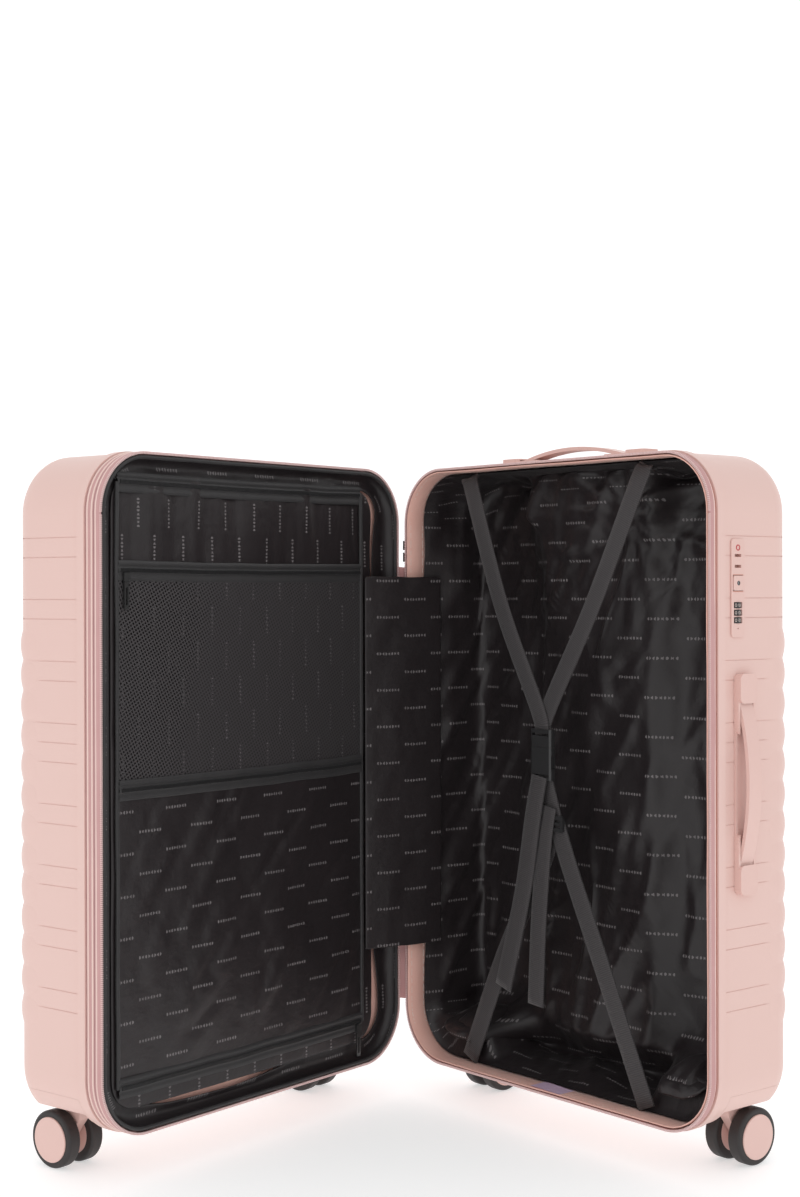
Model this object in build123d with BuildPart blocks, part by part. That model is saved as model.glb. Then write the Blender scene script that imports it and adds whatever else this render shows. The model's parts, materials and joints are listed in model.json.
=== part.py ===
from build123d import *
import os
from math import cos, hypot, radians, sin

# Large hard shell spinner suitcase, standing open like a book on its eight wheels.
#
# Every piece is modelled as if the case were closed and its hinge line stood on x = 0, y = 0:
# x runs from the hinge side to the lock side, the back half lies towards +y, the lid towards -y.
# At the end the back half is set down square to the row axes, and the lid is swung open.

# ---------------------------------------------------------------- driving dimensions, mm
WIDTH = 480.0  # shell, hinge side to lock side
HEIGHT = 700.0  # shell, bottom to top
WHEEL_R = 30.0
GROUND = 1.5 * WHEEL_R  # floor to the shell's lowest face
CORNER_R = 64.0  # corners of the shell, seen from the front
EDGE_R = 26.0  # rounding between a side wall and the big face
WALL = 2.6  # moulded wall
BACK_DEPTH = 132.0  # rim plane to the outside of the back half
LID_DEPTH = 136.0  # rim plane to the outside of the lid
OPEN_ANGLE = 78.0  # between the halves as the case stands

MID_X = WIDTH / 2
MID_Z = GROUND + HEIGHT / 2
TOP = GROUND + HEIGHT

RIM_GAP = 0.6  # rim plane to the first cloth of each half
TAPE_WIDTH = 12.0  # main zip tape, rim plane to shell edge
TAPE_INSET = 1.0
TAPE_THICK = 1.6
EXPANDER_WIDTH = 12.0  # folded expander band of the lid
EXPANDER_INSET = 1.4
FLANGE_DEPTH = 11.0  # thick band along the shell's edge
FLANGE_STEP = 2.0  # how far that band stands out of the wall
HINGE_OFFSET = 3.0  # hinge line outside the spine walls
HINGE_THICK = 1.2
HINGE_CORD_R = 1.2  # cord sewn into the hinge cloth along the hinge line

WAVE_PITCH = 0.045 * HEIGHT  # horizontal ribs across the big faces
WAVE_COUNT = 13
WAVE_DEPTH = 3.0
WAVE_BOTTOM = GROUND + 0.153 * HEIGHT  # floor to the lowest rib
WAVE_RUNOUT = 6.0
GROOVE_CENTRE = GROUND + 0.574 * HEIGHT  # floor to the middle groove of the side walls
GROOVE_NARROW = 20.0
GROOVE_WIDE = 43.0
GROOVES_ABOVE = 4  # pairs of grooves above the middle one
GROOVES_BELOW = 5
GROOVE_WIDTH = 1.0
GROOVE_DEPTH = 0.6

WHEEL_WIDTH = 16.0
WHEEL_GAP = 15.0  # between the two wheels of a caster
TREAD_ROUND = 3.5
HUB_R = WHEEL_R - 9
CAP_R = WHEEL_R - 6.5
CAP_THICK = 1.6
CAP_DOME = 1.0
WHEEL_SIDE_GAP = 1.0
AXLE_R = 3.0
TRAIL = 11.0  # swivel axis to axle
SWIVEL_INSET_X = 48.0  # swivel axis to the side wall
SWIVEL_INSET_Y = 42.0  # swivel axis to the big face
KINGPIN_R = 5.0
KINGPIN_BOSS = 4.0  # wall round the kingpin's root
KINGPIN_OVERRUN = 2.0  # below the fork's plate
FORK_TOP_R = 17.0
FORK_TOP_THICK = 5.0
FORK_BOSS_R = 9.0
FORK_SHOULDER = 12.0  # plate to the heel of the web
FORK_TOE = 4.0
WHEEL_WIDE_R = hypot(TRAIL + WHEEL_R, WHEEL_GAP / 2 + WHEEL_WIDTH)  # swept about the kingpin
POCKET_REACH = WHEEL_WIDE_R + 2.7  # swivel axis to the inner walls of the wheel pocket
POCKET_ROOF = 2 * WHEEL_R + 8  # floor to the pocket's roof
MOUNT_TOP = POCKET_ROOF + 18  # floor to the top edge of the moulded mount
MOUNT_WALL = 2.5
RUNNING_GAP = 0.08
FIT_GAP = 0.2  # between moulded pieces that stay put
SWIVEL_GAP = 0.6

LINING_INSET = 6.5  # outside of the side wall to the lining
LINING_THICK = 1.5
LINING_GAP = 3.0  # lining to whatever it covers
BACK_LINING_DEPTH = BACK_DEPTH - 18
LID_LINING_DEPTH = LID_DEPTH - 14
BINDING_INSET = 5.0
BINDING_THICK = 1.0
BINDING_WIDTH = 27.0
GUSSET_WIDTH = 34.0

TUBE_SPACING = 140.0
TUBE_X = 20.0
TUBE_Y = 14.0
TUBE_WALL = 1.0
TUBE_CORNER = 2.0
TUBE_SLIP = 0.4  # gap between one tube and the next
TUBE_STEP = 4.0  # how much higher the foot of the next tube is
TUBE_DEPTH = 100.0  # rim plane to the middle of the tubes
TUBE_FOOT = GROUND + 65  # floor to the lower ends of the tubes
BASE_HEIGHT = 10.0
BASE_THICK = 18.0
CUP_WIDTH = TUBE_SPACING + 50
CUP_Y = 30.0
CUP_DEPTH = TUBE_DEPTH - 6  # rim plane to the middle of the cup
CUP_HEIGHT = 62.0
CUP_WALL = 2.5
CUP_LIP = 0.8
COLLAR = 6.0  # middle tubes above the floor of the cup
GRIP_Y = 21.0
GRIP_HEIGHT = 24.0
GRIP_PROUD = 3.0  # above the top wall
GRIP_ROUND = 7.0
BUTTON_LENGTH = 37.2
BUTTON_Y = 12.2
BUTTON_GAP = 0.4
BUTTON_TRAVEL = 2.5
BUTTON_WELL = 8.0

HANDLE_LENGTH = 224.0
HANDLE_WIDTH = 26.0
HANDLE_CORNER = 6.0
HANDLE_RIM = 2.2  # height of the frame between the sockets
HANDLE_FLOOR = 0.8
SOCKET_LENGTH = 30.0
SOCKET_HEIGHT = 9.0
SOCKET_ROOF = 1.6
SOCKET_WALL = 2.6
CHEEK_LENGTH = 62.0  # low side walls that run on from the sockets
CHEEK_HEIGHT = 6.0
STRAP_GRIP_WIDTH = 19.0
STRAP_GRIP_THICK = 4.0
STRAP_GRIP_LIFT = 1.2
GRIP_BOW = 12.0
SIDE_HANDLE_Z = GROUND + 0.513 * HEIGHT
SIDE_HANDLE_Y = 51.0
TOP_HANDLE_Y = 54.0

LOCK_LENGTH = 100.0
LOCK_WIDTH = 20.0
LOCK_Y = 43.0
LOCK_Z = GROUND + 0.797 * HEIGHT
LOCK_PROUD = 1.6
LOCK_CORNER = 4.0
LOCK_BODY = 15.0
LOCK_BODY_INSET = 2.0  # how much smaller the body is than the plate, each side
LOCK_MARGIN = 0.4  # round the dials and the button
DIAL_R = 6.0
DIAL_PIN_R = 1.5
DIAL_THICK = 5.6
DIAL_PITCH = 7.6
DIAL_SHOW = 1.4  # how far a dial stands out of the plate
DIALS_Z = -25.0  # middle dial, from the middle of the lock
FLUTES = 10
FLUTE_R = 1.0
KEY_Z = 5.0
RELEASE_SIZE = 15.0
RELEASE_THICK = 5.0
RELEASE_TRAVEL = 1.0
KEYHOLE_R = 2.4
PULLER_SLOTS = (22.0, 33.0)  # where the zip pullers lock in, from the middle of the lock
PULLER_SLOT = (3.0, 10.0)
RESET_HOLE_Z = -41.0
RESET_HOLE_R = 0.9

STRAP_THICK = 1.4
STRAP_Y = 17.0
STRAP_TOP_END = TOP - 12
STRAP_BOTTOM_END = GROUND + 13
SEWN = (32.0, 22.0)  # width at the sewn end and at the buckle
BUCKLE_X = MID_X - 18
BUCKLE_Z = MID_Z + 32  # where plug and socket meet
BUCKLE_WIDTH = 32.0
BUCKLE_THICK = 9.0
BUCKLE_WALL = 1.6
BUCKLE_ROUND = 3.0
BUCKLE_SLOT = 3.0
PLUG_HEIGHT = 20.0
PRONG_LENGTH = 24.0
PRONG_WIDTH = 4.0
PRONG_GAP = 0.4
SOCKET_DROP = 36.0  # length of the buckle's socket
ADJUSTER = (MID_X, MID_Z - 51)
ADJUSTER_HEIGHT = 18.0
# Straps: upper end, lower end, depth, width at either end
UPPER_STRAPS = (
    ((94, STRAP_TOP_END), (BUCKLE_X - 12, BUCKLE_Z + PLUG_HEIGHT + 1), STRAP_Y, SEWN),
    ((WIDTH - 108, STRAP_TOP_END), (BUCKLE_X + 14, BUCKLE_Z + PLUG_HEIGHT + 1), STRAP_Y, SEWN),
)
LOWER_STRAPS = (
    ((MID_X - 5, MID_Z - 57), (92, STRAP_BOTTOM_END), STRAP_Y + 5, (28, 32)),
    ((MID_X + 8, MID_Z - 57), (WIDTH - 110, STRAP_BOTTOM_END), STRAP_Y + 1.6, (28, 32)),
    ((BUCKLE_X, BUCKLE_Z - SOCKET_DROP - 1), ADJUSTER, STRAP_Y + 1.2, (25, 25)),
)
STRAP_TAILS = (
    ((BUCKLE_X, BUCKLE_Z - SOCKET_DROP - 1), (MID_X - 79, GROUND + 105), STRAP_Y - 6, (25, 28)),
    ((MID_X - 16, MID_Z - 15), (MID_X - 26, GROUND + 95), STRAP_Y - 3.8, (24, 25)),
)

PANEL_FRONT = 8.0  # rim plane to the face of the divider
PANEL_THICK = 3.0
PANEL_HINGE_EDGE = 44.0
PANEL_LOCK_EDGE = WIDTH - 22
PANEL_BOTTOM = GROUND + 27
PANEL_TOP = TOP - 23
PANEL_R = 34.0
POCKET_THICK = 1.0
POCKET_HINGE_EDGE = 66.0
POCKET_LOCK_EDGE = WIDTH - 32
POCKET_R = 3.0
ZIP_WIDTH = 22.0
ZIP_THICK = 1.0
ZIP_HEIGHTS = (PANEL_BOTTOM + 14, TOP - 134, PANEL_TOP - 21)  # divider, mesh pocket, top strip
MESH_BOTTOM = MID_Z + 9
MESH_TOP = ZIP_HEIGHTS[1] - FIT_GAP
SLIDER_HALF = 4.0
SLIDER_HEIGHT = 9.0
SLIDER_THICK = 3.2
SLIDER_MARGIN = 8.0  # from a pocket's end to its parked slider
PULL_LENGTH = 28.0
PULL_HALF = 3.0
PULL_SLOT_HALF = 1.2
MAIN_SLIDER_Z = TOP - 95
MAIN_SLIDER_PITCH = 14.0
MAIN_SLIDER = (2.4, 8.0, 11.0)  # out of the wall, along the tape, up the wall
MAIN_SLIDER_Y = 1.5

FLAP_BOTTOM = GROUND + 142
FLAP_TOP = TOP - 127
FLAP_THICK = 1.4
FLAP_LID = (62.0, 4.0)  # along the lid from the hinge, and into it
FLAP_BACK = (22.0, 40.0)
HINGE_BOTTOM = GROUND + 67
HINGE_TOP = TOP - 115
HINGE_SEWN = 0.8  # hinge cloth outside the tapes it is sewn to
FOOT_LENGTH = 60.0
FOOT_WIDTH = 14.0
FOOT_ROUND = 5.0
FOOT_PROUD = 2.0  # outside the flange
FOOT_DEPTH = 60.0
FOOT_HEIGHTS = (GROUND + 125, TOP - 105)

# ---------------------------------------------------------------- values worked out from them
BACK_START = TAPE_WIDTH + FIT_GAP  # rim plane to the back shell's edge
LID_START = TAPE_WIDTH + EXPANDER_WIDTH + 2 * FIT_GAP
SIDE_WALL = WIDTH - FLANGE_STEP  # outside of the lock side wall
TOP_WALL = TOP - FLANGE_STEP
WHEEL_OUT = WHEEL_GAP / 2 + WHEEL_WIDTH  # caster's middle to a wheel's outer face
INNER_FACE = WAVE_DEPTH + WALL  # outside of a big face to its inside
BASE_HALF = TUBE_SPACING / 2 + TUBE_X / 2 + 3
BACK, LID = 1, -1  # which way each half lies along y
HINGE_SIDE, LOCK_SIDE = 0, 1
CLEAR = 10.0  # how far a cutting box runs past what it cuts
STANDING = (Align.CENTER, Align.CENTER, Align.MIN)
HANGING = (Align.CENTER, Align.CENTER, Align.MAX)


def rim_plane(side, depth):
    """The plane parallel to the rim at that depth, with its origin in the middle of the half."""
    return Plane(origin=(MID_X, side * depth, MID_Z), x_dir=(1, 0, 0), z_dir=(0, -1, 0))


def box_between(low, high):
    """A box from its lowest to its highest corner, made outside any builder."""
    size = [h - l for l, h in zip(low, high)]
    centre = [(h + l) / 2 for l, h in zip(low, high)]
    return Pos(*centre) * Box(*size, mode=Mode.PRIVATE)


def half_box(side, x, depth, z):
    """A box given by its span of x, of depth into that half, and of z."""
    ys = sorted((side * depth[0], side * depth[1]))
    return box_between((x[0], ys[0], z[0]), (x[1], ys[1], z[1]))


def tub(side, inset, start, end, edge_radius):
    """The half's outline, drawn in by inset, as a solid from one depth to another."""
    with BuildPart() as body:
        with BuildSketch(rim_plane(side, start)):
            RectangleRounded(WIDTH - 2 * inset, HEIGHT - 2 * inset, CORNER_R - inset)
        extrude(amount=-side * (end - start))
        far_face = body.faces().sort_by(Axis.Y)[-1 if side == BACK else 0]
        fillet(far_face.edges(), edge_radius)
    return body.part


def ring(side, inset, thick, start, end):
    """A band that follows the rim: a zip tape, a binding or a flange."""
    with BuildPart() as band:
        with BuildSketch(rim_plane(side, start)):
            RectangleRounded(WIDTH - 2 * inset, HEIGHT - 2 * inset, CORNER_R - inset)
            inner = inset + thick
            RectangleRounded(
                WIDTH - 2 * inner, HEIGHT - 2 * inner, CORNER_R - inner, mode=Mode.SUBTRACT
            )
        extrude(amount=-side * (end - start))
    return band.part


def groove_heights():
    """Heights of the side wall grooves: pairs of lines, mirrored about the middle one."""
    step = GROOVE_NARROW + GROOVE_WIDE
    above = [k * step for k in range(GROOVES_ABOVE)]
    below = [k * step for k in range(GROOVES_BELOW)]
    ups = [h + d for h in above for d in (GROOVE_NARROW, step)]
    downs = [-h - d for h in below for d in (GROOVE_NARROW, step)]
    return [GROOVE_CENTRE + d for d in [0.0] + ups[:-1] + downs[:-1]]


# ---------------------------------------------------------------- shells
def wave_cutter(side, depth):
    """What is cut from a big face to leave its row of ribs."""
    face, valley = side * depth, side * (depth - WAVE_DEPTH)
    outside = side * (depth + WAVE_DEPTH)
    low, high = WAVE_BOTTOM, WAVE_BOTTOM + WAVE_COUNT * WAVE_PITCH
    with BuildPart() as cutter:
        with BuildSketch(Plane.YZ):
            with BuildLine():
                Line((outside, low - WAVE_RUNOUT), (face, low - WAVE_RUNOUT))
                Line((face, low - WAVE_RUNOUT), (valley, low))
                for k in range(WAVE_COUNT):
                    foot = low + k * WAVE_PITCH
                    crest = (face, foot + WAVE_PITCH / 2)
                    ThreePointArc((valley, foot), crest, (valley, foot + WAVE_PITCH))
                Line((valley, high), (face, high + WAVE_RUNOUT))
                Line((face, high + WAVE_RUNOUT), (outside, high + WAVE_RUNOUT))
                Line((outside, high + WAVE_RUNOUT), (outside, low - WAVE_RUNOUT))
            make_face()
        extrude(amount=WIDTH)
    return cutter.part


def groove_cutter(side, start, depth):
    """Thin slots around the side walls, the same depth everywhere."""
    inner = tub(side, FLANGE_STEP + GROOVE_DEPTH, start - 1, depth - GROOVE_DEPTH, EDGE_R)
    low_depth = start + FLANGE_DEPTH + 1
    high_depth = depth - EDGE_R / 2
    half = GROOVE_WIDTH / 2
    with BuildPart() as cutter:
        for z in groove_heights():
            add(half_box(side, (-1, WIDTH + 1), (low_depth, high_depth), (z - half, z + half)))
        add(inner, mode=Mode.SUBTRACT)
    return cutter.part


def swivel_axis(side, end):
    """Plan position of a caster's swivel axis."""
    depth = BACK_DEPTH if side == BACK else LID_DEPTH
    x = SWIVEL_INSET_X if end == HINGE_SIDE else WIDTH - SWIVEL_INSET_X
    return x, side * (depth - SWIVEL_INSET_Y)


def corner_block(side, end, grow, top):
    """The bottom back corner that a caster mount takes up, grown by some clearance."""
    depth = BACK_DEPTH if side == BACK else LID_DEPTH
    x, y = swivel_axis(side, end)
    reach = POCKET_REACH + MOUNT_WALL + grow
    xs = (-CLEAR, x + reach) if end == HINGE_SIDE else (x - reach, WIDTH + CLEAR)
    return half_box(side, xs, (abs(y) - reach, depth + CLEAR), (GROUND - CLEAR, top + grow))


def outer_body(side, start, depth):
    """The outside of a shell, solid, with its ribs."""
    with BuildPart() as body:
        add(tub(side, FLANGE_STEP, start, depth, EDGE_R))
        add(wave_cutter(side, depth), mode=Mode.SUBTRACT)
    return body.part


def inner_body(side, start, depth):
    """The hollow of a shell."""
    return tub(side, FLANGE_STEP + WALL, start - 1, depth - INNER_FACE, EDGE_R - WALL)


def half_shell(side, start, depth, cutouts):
    with BuildPart() as shell:
        add(outer_body(side, start, depth))
        add(ring(side, 0, FLANGE_STEP + WALL, start, start + FLANGE_DEPTH))
        add(inner_body(side, start, depth), mode=Mode.SUBTRACT)
        add(groove_cutter(side, start, depth), mode=Mode.SUBTRACT)
        for end in (HINGE_SIDE, LOCK_SIDE):
            add(corner_block(side, end, FIT_GAP, MOUNT_TOP), mode=Mode.SUBTRACT)
        for cutout in cutouts:
            add(cutout, mode=Mode.SUBTRACT)
    return shell.part


def caster_mount(side, end, start, depth):
    """Moulded corner that closes the wheel pocket and holds the kingpin."""
    x, y = swivel_axis(side, end)
    inner = x + POCKET_REACH if end == HINGE_SIDE else x - POCKET_REACH
    xs = (-2 * CLEAR, inner) if end == HINGE_SIDE else (inner, WIDTH + 2 * CLEAR)
    depths = (abs(y) - POCKET_REACH, depth + 2 * CLEAR)
    with BuildPart() as hollow:
        add(inner_body(side, start, depth))
        above_roof = (POCKET_ROOF + MOUNT_WALL + 1, MOUNT_TOP + 2 * CLEAR)
        add(half_box(side, xs, depths, above_roof), mode=Mode.INTERSECT)
    with BuildPart() as mount:
        add(outer_body(side, start, depth))
        add(corner_block(side, end, 0, MOUNT_TOP), mode=Mode.INTERSECT)
        add(half_box(side, xs, depths, (0, POCKET_ROOF)), mode=Mode.SUBTRACT)
        add(hollow.part, mode=Mode.SUBTRACT)
        with Locations((x, y, POCKET_ROOF)):
            boss_r = KINGPIN_R + KINGPIN_BOSS
            Cylinder(boss_r, MOUNT_TOP - POCKET_ROOF - KINGPIN_BOSS, align=STANDING)
        with Locations((x, y, POCKET_ROOF + MOUNT_WALL)):
            pin_length = MOUNT_WALL + SWIVEL_GAP + FORK_TOP_THICK + KINGPIN_OVERRUN
            Cylinder(KINGPIN_R, pin_length, align=HANGING)
    return mount.part


# ---------------------------------------------------------------- linings and cloth
def notch_blocks(side, grow):
    """What the back lining is dressed around: wheel pockets, tubes, cup and lock."""
    blocks = [corner_block(side, end, grow, MOUNT_TOP) for end in (HINGE_SIDE, LOCK_SIDE)]
    if side == BACK:
        tubes = (TUBE_SPACING + TUBE_X) / 2 + grow
        tube_depths = (TUBE_DEPTH - TUBE_Y / 2 - grow, BACK_DEPTH)
        tube_zs = (TUBE_FOOT - grow, TOP)
        blocks.append(half_box(side, (MID_X - tubes, MID_X + tubes), tube_depths, tube_zs))
        foot = BASE_HALF + grow
        foot_depths = (TUBE_DEPTH - BASE_THICK / 2 - grow, BACK_DEPTH)
        foot_zs = (TUBE_FOOT - BASE_HEIGHT - grow, TUBE_FOOT + grow)
        blocks.append(half_box(side, (MID_X - foot, MID_X + foot), foot_depths, foot_zs))
        cup = (MID_X - CUP_WIDTH / 2 - grow, MID_X + CUP_WIDTH / 2 + grow)
        cup_depths = (CUP_DEPTH - CUP_Y / 2 - grow, BACK_DEPTH)
        blocks.append(half_box(side, cup, cup_depths, (TOP_WALL - CUP_HEIGHT - grow, TOP)))
        lock_x = (SIDE_WALL - LOCK_BODY - grow, WIDTH)
        lock_depths = (LOCK_Y - LOCK_WIDTH / 2 - grow, LOCK_Y + LOCK_WIDTH / 2 + grow)
        lock_zs = (LOCK_Z - LOCK_LENGTH / 2 - grow, LOCK_Z + LOCK_LENGTH / 2 + grow)
        blocks.append(half_box(side, lock_x, lock_depths, lock_zs))
    return blocks


def lining(side, start, depth):
    """A cloth tub, drawn in around everything that stands inside the shell."""
    radius = EDGE_R - LINING_INSET
    inset = LINING_INSET + LINING_THICK
    with BuildPart() as hollow:
        add(tub(side, inset, start - 1, depth - LINING_THICK, radius))
        for block in notch_blocks(side, LINING_GAP + LINING_THICK):
            add(block, mode=Mode.SUBTRACT)
    with BuildPart() as cloth:
        add(tub(side, LINING_INSET, start, depth, radius))
        for block in notch_blocks(side, LINING_GAP):
            add(block, mode=Mode.SUBTRACT)
        add(hollow.part, mode=Mode.SUBTRACT)
    return cloth.part


def panel(low_x, high_x, low_z, high_z, front, thick, radius):
    """A flat cloth panel of the lid, facing its rim."""
    centre = Plane(
        origin=((low_x + high_x) / 2, LID * front, (low_z + high_z) / 2),
        x_dir=(1, 0, 0),
        z_dir=(0, -1, 0),
    )
    with BuildPart() as cloth:
        with BuildSketch(centre):
            RectangleRounded(high_x - low_x, high_z - low_z, radius)
        extrude(amount=thick)
    return cloth.part


def pocket_zips():
    """The zips of the mesh pocket, the lower pocket and the divider's bottom edge."""
    front = PANEL_FRONT - ZIP_THICK
    xs = (POCKET_HINGE_EDGE, POCKET_LOCK_EDGE)
    with BuildPart() as zips:
        for z in ZIP_HEIGHTS:
            add(panel(*xs, z, z + ZIP_WIDTH, front, ZIP_THICK, 1))
    return zips.part


def zip_slider(x, z, front):
    """A slider with its hanging pull, in front of a lid zip."""
    pull_end = z - PULL_LENGTH
    with BuildPart() as slider:
        xs = (x - SLIDER_HALF, x + SLIDER_HALF)
        add(half_box(LID, xs, (front - SLIDER_THICK, front), (z, z + SLIDER_HEIGHT)))
        fillet(slider.edges().filter_by(Axis.Y), 1.5)
        pull = (x - PULL_HALF, x + PULL_HALF)
        add(half_box(LID, pull, (front - 2.4, front - 0.6), (pull_end, z + 1)))
        slot = (x - PULL_SLOT_HALF, x + PULL_SLOT_HALF)
        slot_box = half_box(LID, slot, (front - SLIDER_THICK - 1, front), (pull_end + 4, z - 6))
        add(slot_box, mode=Mode.SUBTRACT)
    return slider.part


def main_zip_slider():
    """The two sliders of the main zip, parked at the top of the spine side."""
    out, along, up = MAIN_SLIDER
    with BuildPart() as sliders:
        for z in (MAIN_SLIDER_Z, MAIN_SLIDER_Z - MAIN_SLIDER_PITCH):
            low = (-FIT_GAP - out, MAIN_SLIDER_Y, z)
            add(box_between(low, (-FIT_GAP, MAIN_SLIDER_Y + along, z + up)))
    return sliders.part


def spine_band(points, thick, low, high):
    """Cloth standing on edge along a line of points in plan."""
    with BuildPart() as band:
        with BuildSketch(Plane.XY.offset(low)):
            with BuildLine():
                Polyline(*points)
            trace(line_width=thick)
        extrude(amount=high - low)
    return band.part


def open_lid_point(along, depth):
    """Where a point of the lid stands in plan while the case is open at rest."""
    x, y = along + HINGE_OFFSET, -depth
    c, s = cos(radians(OPEN_ANGLE)), sin(radians(OPEN_ANGLE))
    return x * c + y * s - HINGE_OFFSET, y * c - x * s


def strap(top, bottom, depth, widths):
    """A flat length of webbing between two points, in front of the lining."""
    (tx, tz), (bx, bz) = top, bottom
    w_top, w_low = widths
    top_edge = [(tx - w_top / 2, tz), (tx + w_top / 2, tz)]
    bottom_edge = [(bx + w_low / 2, bz), (bx - w_low / 2, bz)]
    outline = [(x - MID_X, z - MID_Z) for x, z in top_edge + bottom_edge]
    with BuildPart() as webbing:
        with BuildSketch(rim_plane(BACK, depth)):
            with BuildLine():
                Polyline(*outline, close=True)
            make_face()
        extrude(amount=STRAP_THICK)
    return webbing.part


def buckle_box(margin, thin, low, high):
    """A box round the buckle's middle, drawn in by margin at its sides and thin at its faces."""
    half, reach = BUCKLE_WIDTH / 2 - margin, BUCKLE_THICK / 2 - thin
    xs = (BUCKLE_X - half, BUCKLE_X + half)
    return half_box(BACK, xs, (STRAP_Y - reach, STRAP_Y + reach), (low, high))


def buckle_socket():
    """The female half of the side release buckle, open at its mouth and both sides."""
    low = BUCKLE_Z - SOCKET_DROP
    inside = low + 10
    with BuildPart() as socket:
        add(buckle_box(0, 0, low, BUCKLE_Z))
        fillet(socket.edges().filter_by(Axis.Z), BUCKLE_ROUND)
        add(buckle_box(BUCKLE_WALL, BUCKLE_WALL, inside, BUCKLE_Z + 1), mode=Mode.SUBTRACT)
        add(buckle_box(-1, BUCKLE_WALL, inside + 2, BUCKLE_Z - 9), mode=Mode.SUBTRACT)
        add(buckle_box(3, -1, low + 3, low + 3 + BUCKLE_SLOT), mode=Mode.SUBTRACT)
    return socket.part


def buckle_plug():
    """The male half: a bar with a webbing slot, two sprung prongs and a middle guide."""
    high = BUCKLE_Z + PLUG_HEIGHT
    reach = BUCKLE_THICK / 2 - BUCKLE_WALL - PRONG_GAP
    inner = (STRAP_Y - reach, STRAP_Y + reach)
    side = BUCKLE_WIDTH / 2 - BUCKLE_WALL - PRONG_GAP - PRONG_WIDTH / 2
    with BuildPart() as plug:
        add(buckle_box(0, 0, BUCKLE_Z + FIT_GAP, high))
        fillet(plug.edges().filter_by(Axis.Z), BUCKLE_ROUND)
        for middle in (BUCKLE_X - side, BUCKLE_X, BUCKLE_X + side):
            xs = (middle - PRONG_WIDTH / 2, middle + PRONG_WIDTH / 2)
            add(half_box(BACK, xs, inner, (BUCKLE_Z - PRONG_LENGTH, BUCKLE_Z + 2)))
        add(buckle_box(3, -1, high - 4 - BUCKLE_SLOT, high - 4), mode=Mode.SUBTRACT)
    return plug.part


def strap_adjuster():
    """A three bar slide where the lower straps meet."""
    x, z = ADJUSTER
    half, tall = BUCKLE_WIDTH / 2, ADJUSTER_HEIGHT / 2
    near, far = STRAP_Y - 3.2, STRAP_Y - 0.4
    with BuildPart() as adjuster:
        add(half_box(BACK, (x - half, x + half), (near, far), (z - tall, z + tall)))
        fillet(adjuster.edges().filter_by(Axis.Y), BUCKLE_ROUND)
        for slot_z in (z - 4.5, z + 1.5):
            slot = (x - half + 4, x + half - 4)
            cut = half_box(BACK, slot, (near - 1, far + 1), (slot_z, slot_z + BUCKLE_SLOT))
            add(cut, mode=Mode.SUBTRACT)
    return adjuster.part


# ---------------------------------------------------------------- casters
def axle_point(side, end):
    x, y = swivel_axis(side, end)
    return x, y + side * TRAIL, WHEEL_R


def fork(side, end):
    """A swivel plate over a web that hangs between the two wheels."""
    x, y = swivel_axis(side, end)
    axle = axle_point(side, end)
    plate_top = POCKET_ROOF - SWIVEL_GAP
    web = WHEEL_GAP - 2 * WHEEL_SIDE_GAP
    under = plate_top - FORK_TOP_THICK
    heel = (-side * FORK_TOP_R, under)
    heel_foot = (-side * FORK_TOP_R * 0.8, under - FORK_SHOULDER)
    knee = (side * (TRAIL - FORK_BOSS_R), WHEEL_R)
    toe = (side * (TRAIL + FORK_BOSS_R), WHEEL_R)
    brow = (side * (FORK_TOP_R + FORK_TOE), under - FORK_SHOULDER / 2)
    front = (side * FORK_TOP_R * 0.9, under)
    with BuildPart() as body:
        with BuildSketch(Plane.XY.offset(under)):
            with Locations((x, y)):
                Circle(FORK_TOP_R)
        extrude(amount=FORK_TOP_THICK)
        with BuildSketch(Plane(origin=(x - web / 2, y, 0), x_dir=(0, 1, 0), z_dir=(1, 0, 0))):
            with BuildLine():
                Polyline(heel, heel_foot, knee, toe, brow, front, close=True)
            make_face()
            with Locations((side * TRAIL, WHEEL_R)):
                Circle(FORK_BOSS_R)
        extrude(amount=web)
        with Locations((x, y, plate_top + 1)):
            depth = FORK_TOP_THICK + KINGPIN_OVERRUN + SWIVEL_GAP + 1
            Cylinder(KINGPIN_R + RUNNING_GAP, depth, align=HANGING, mode=Mode.SUBTRACT)
        with Locations(Location(axle, (0, 90, 0))):
            Cylinder(AXLE_R + RUNNING_GAP, WHEEL_GAP, mode=Mode.SUBTRACT)
    return body.part


def wheel_axle(side, end):
    with BuildPart() as axle:
        with Locations(Location(axle_point(side, end), (0, 90, 0))):
            Cylinder(AXLE_R, 2 * WHEEL_OUT)
    return axle.part


def wheel_plane(side, end, sign):
    """On a wheel's inner face, looking outwards along its axle."""
    x, y, z = axle_point(side, end)
    return Plane(origin=(x + sign * WHEEL_GAP / 2, y, z), z_dir=(sign, 0, 0))


def tyre(place):
    """A rubber ring, rounded at its tread."""
    with BuildPart(place) as rubber:
        Cylinder(WHEEL_R, WHEEL_WIDTH, align=STANDING)
        fillet(rubber.edges().filter_by(GeomType.CIRCLE), TREAD_ROUND)
        Cylinder(HUB_R, WHEEL_WIDTH, align=STANDING, mode=Mode.SUBTRACT)
    return rubber.part


def hub(place):
    """A wheel body with a domed cap over its outer face."""
    with BuildPart(place) as disc:
        Cylinder(HUB_R, WHEEL_WIDTH, align=STANDING)
        with Locations((0, 0, WHEEL_WIDTH)):
            Cylinder(CAP_R, CAP_THICK, align=STANDING)
        fillet(disc.faces().sort_by(Axis(place.origin, place.z_dir))[-1].edges(), CAP_DOME)
        Cylinder(AXLE_R, WHEEL_WIDTH, align=STANDING, mode=Mode.SUBTRACT)
    return disc.part


def wheel_pair(maker, side, end):
    return group(*[maker(wheel_plane(side, end, sign)) for sign in (-1, 1)])


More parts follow.
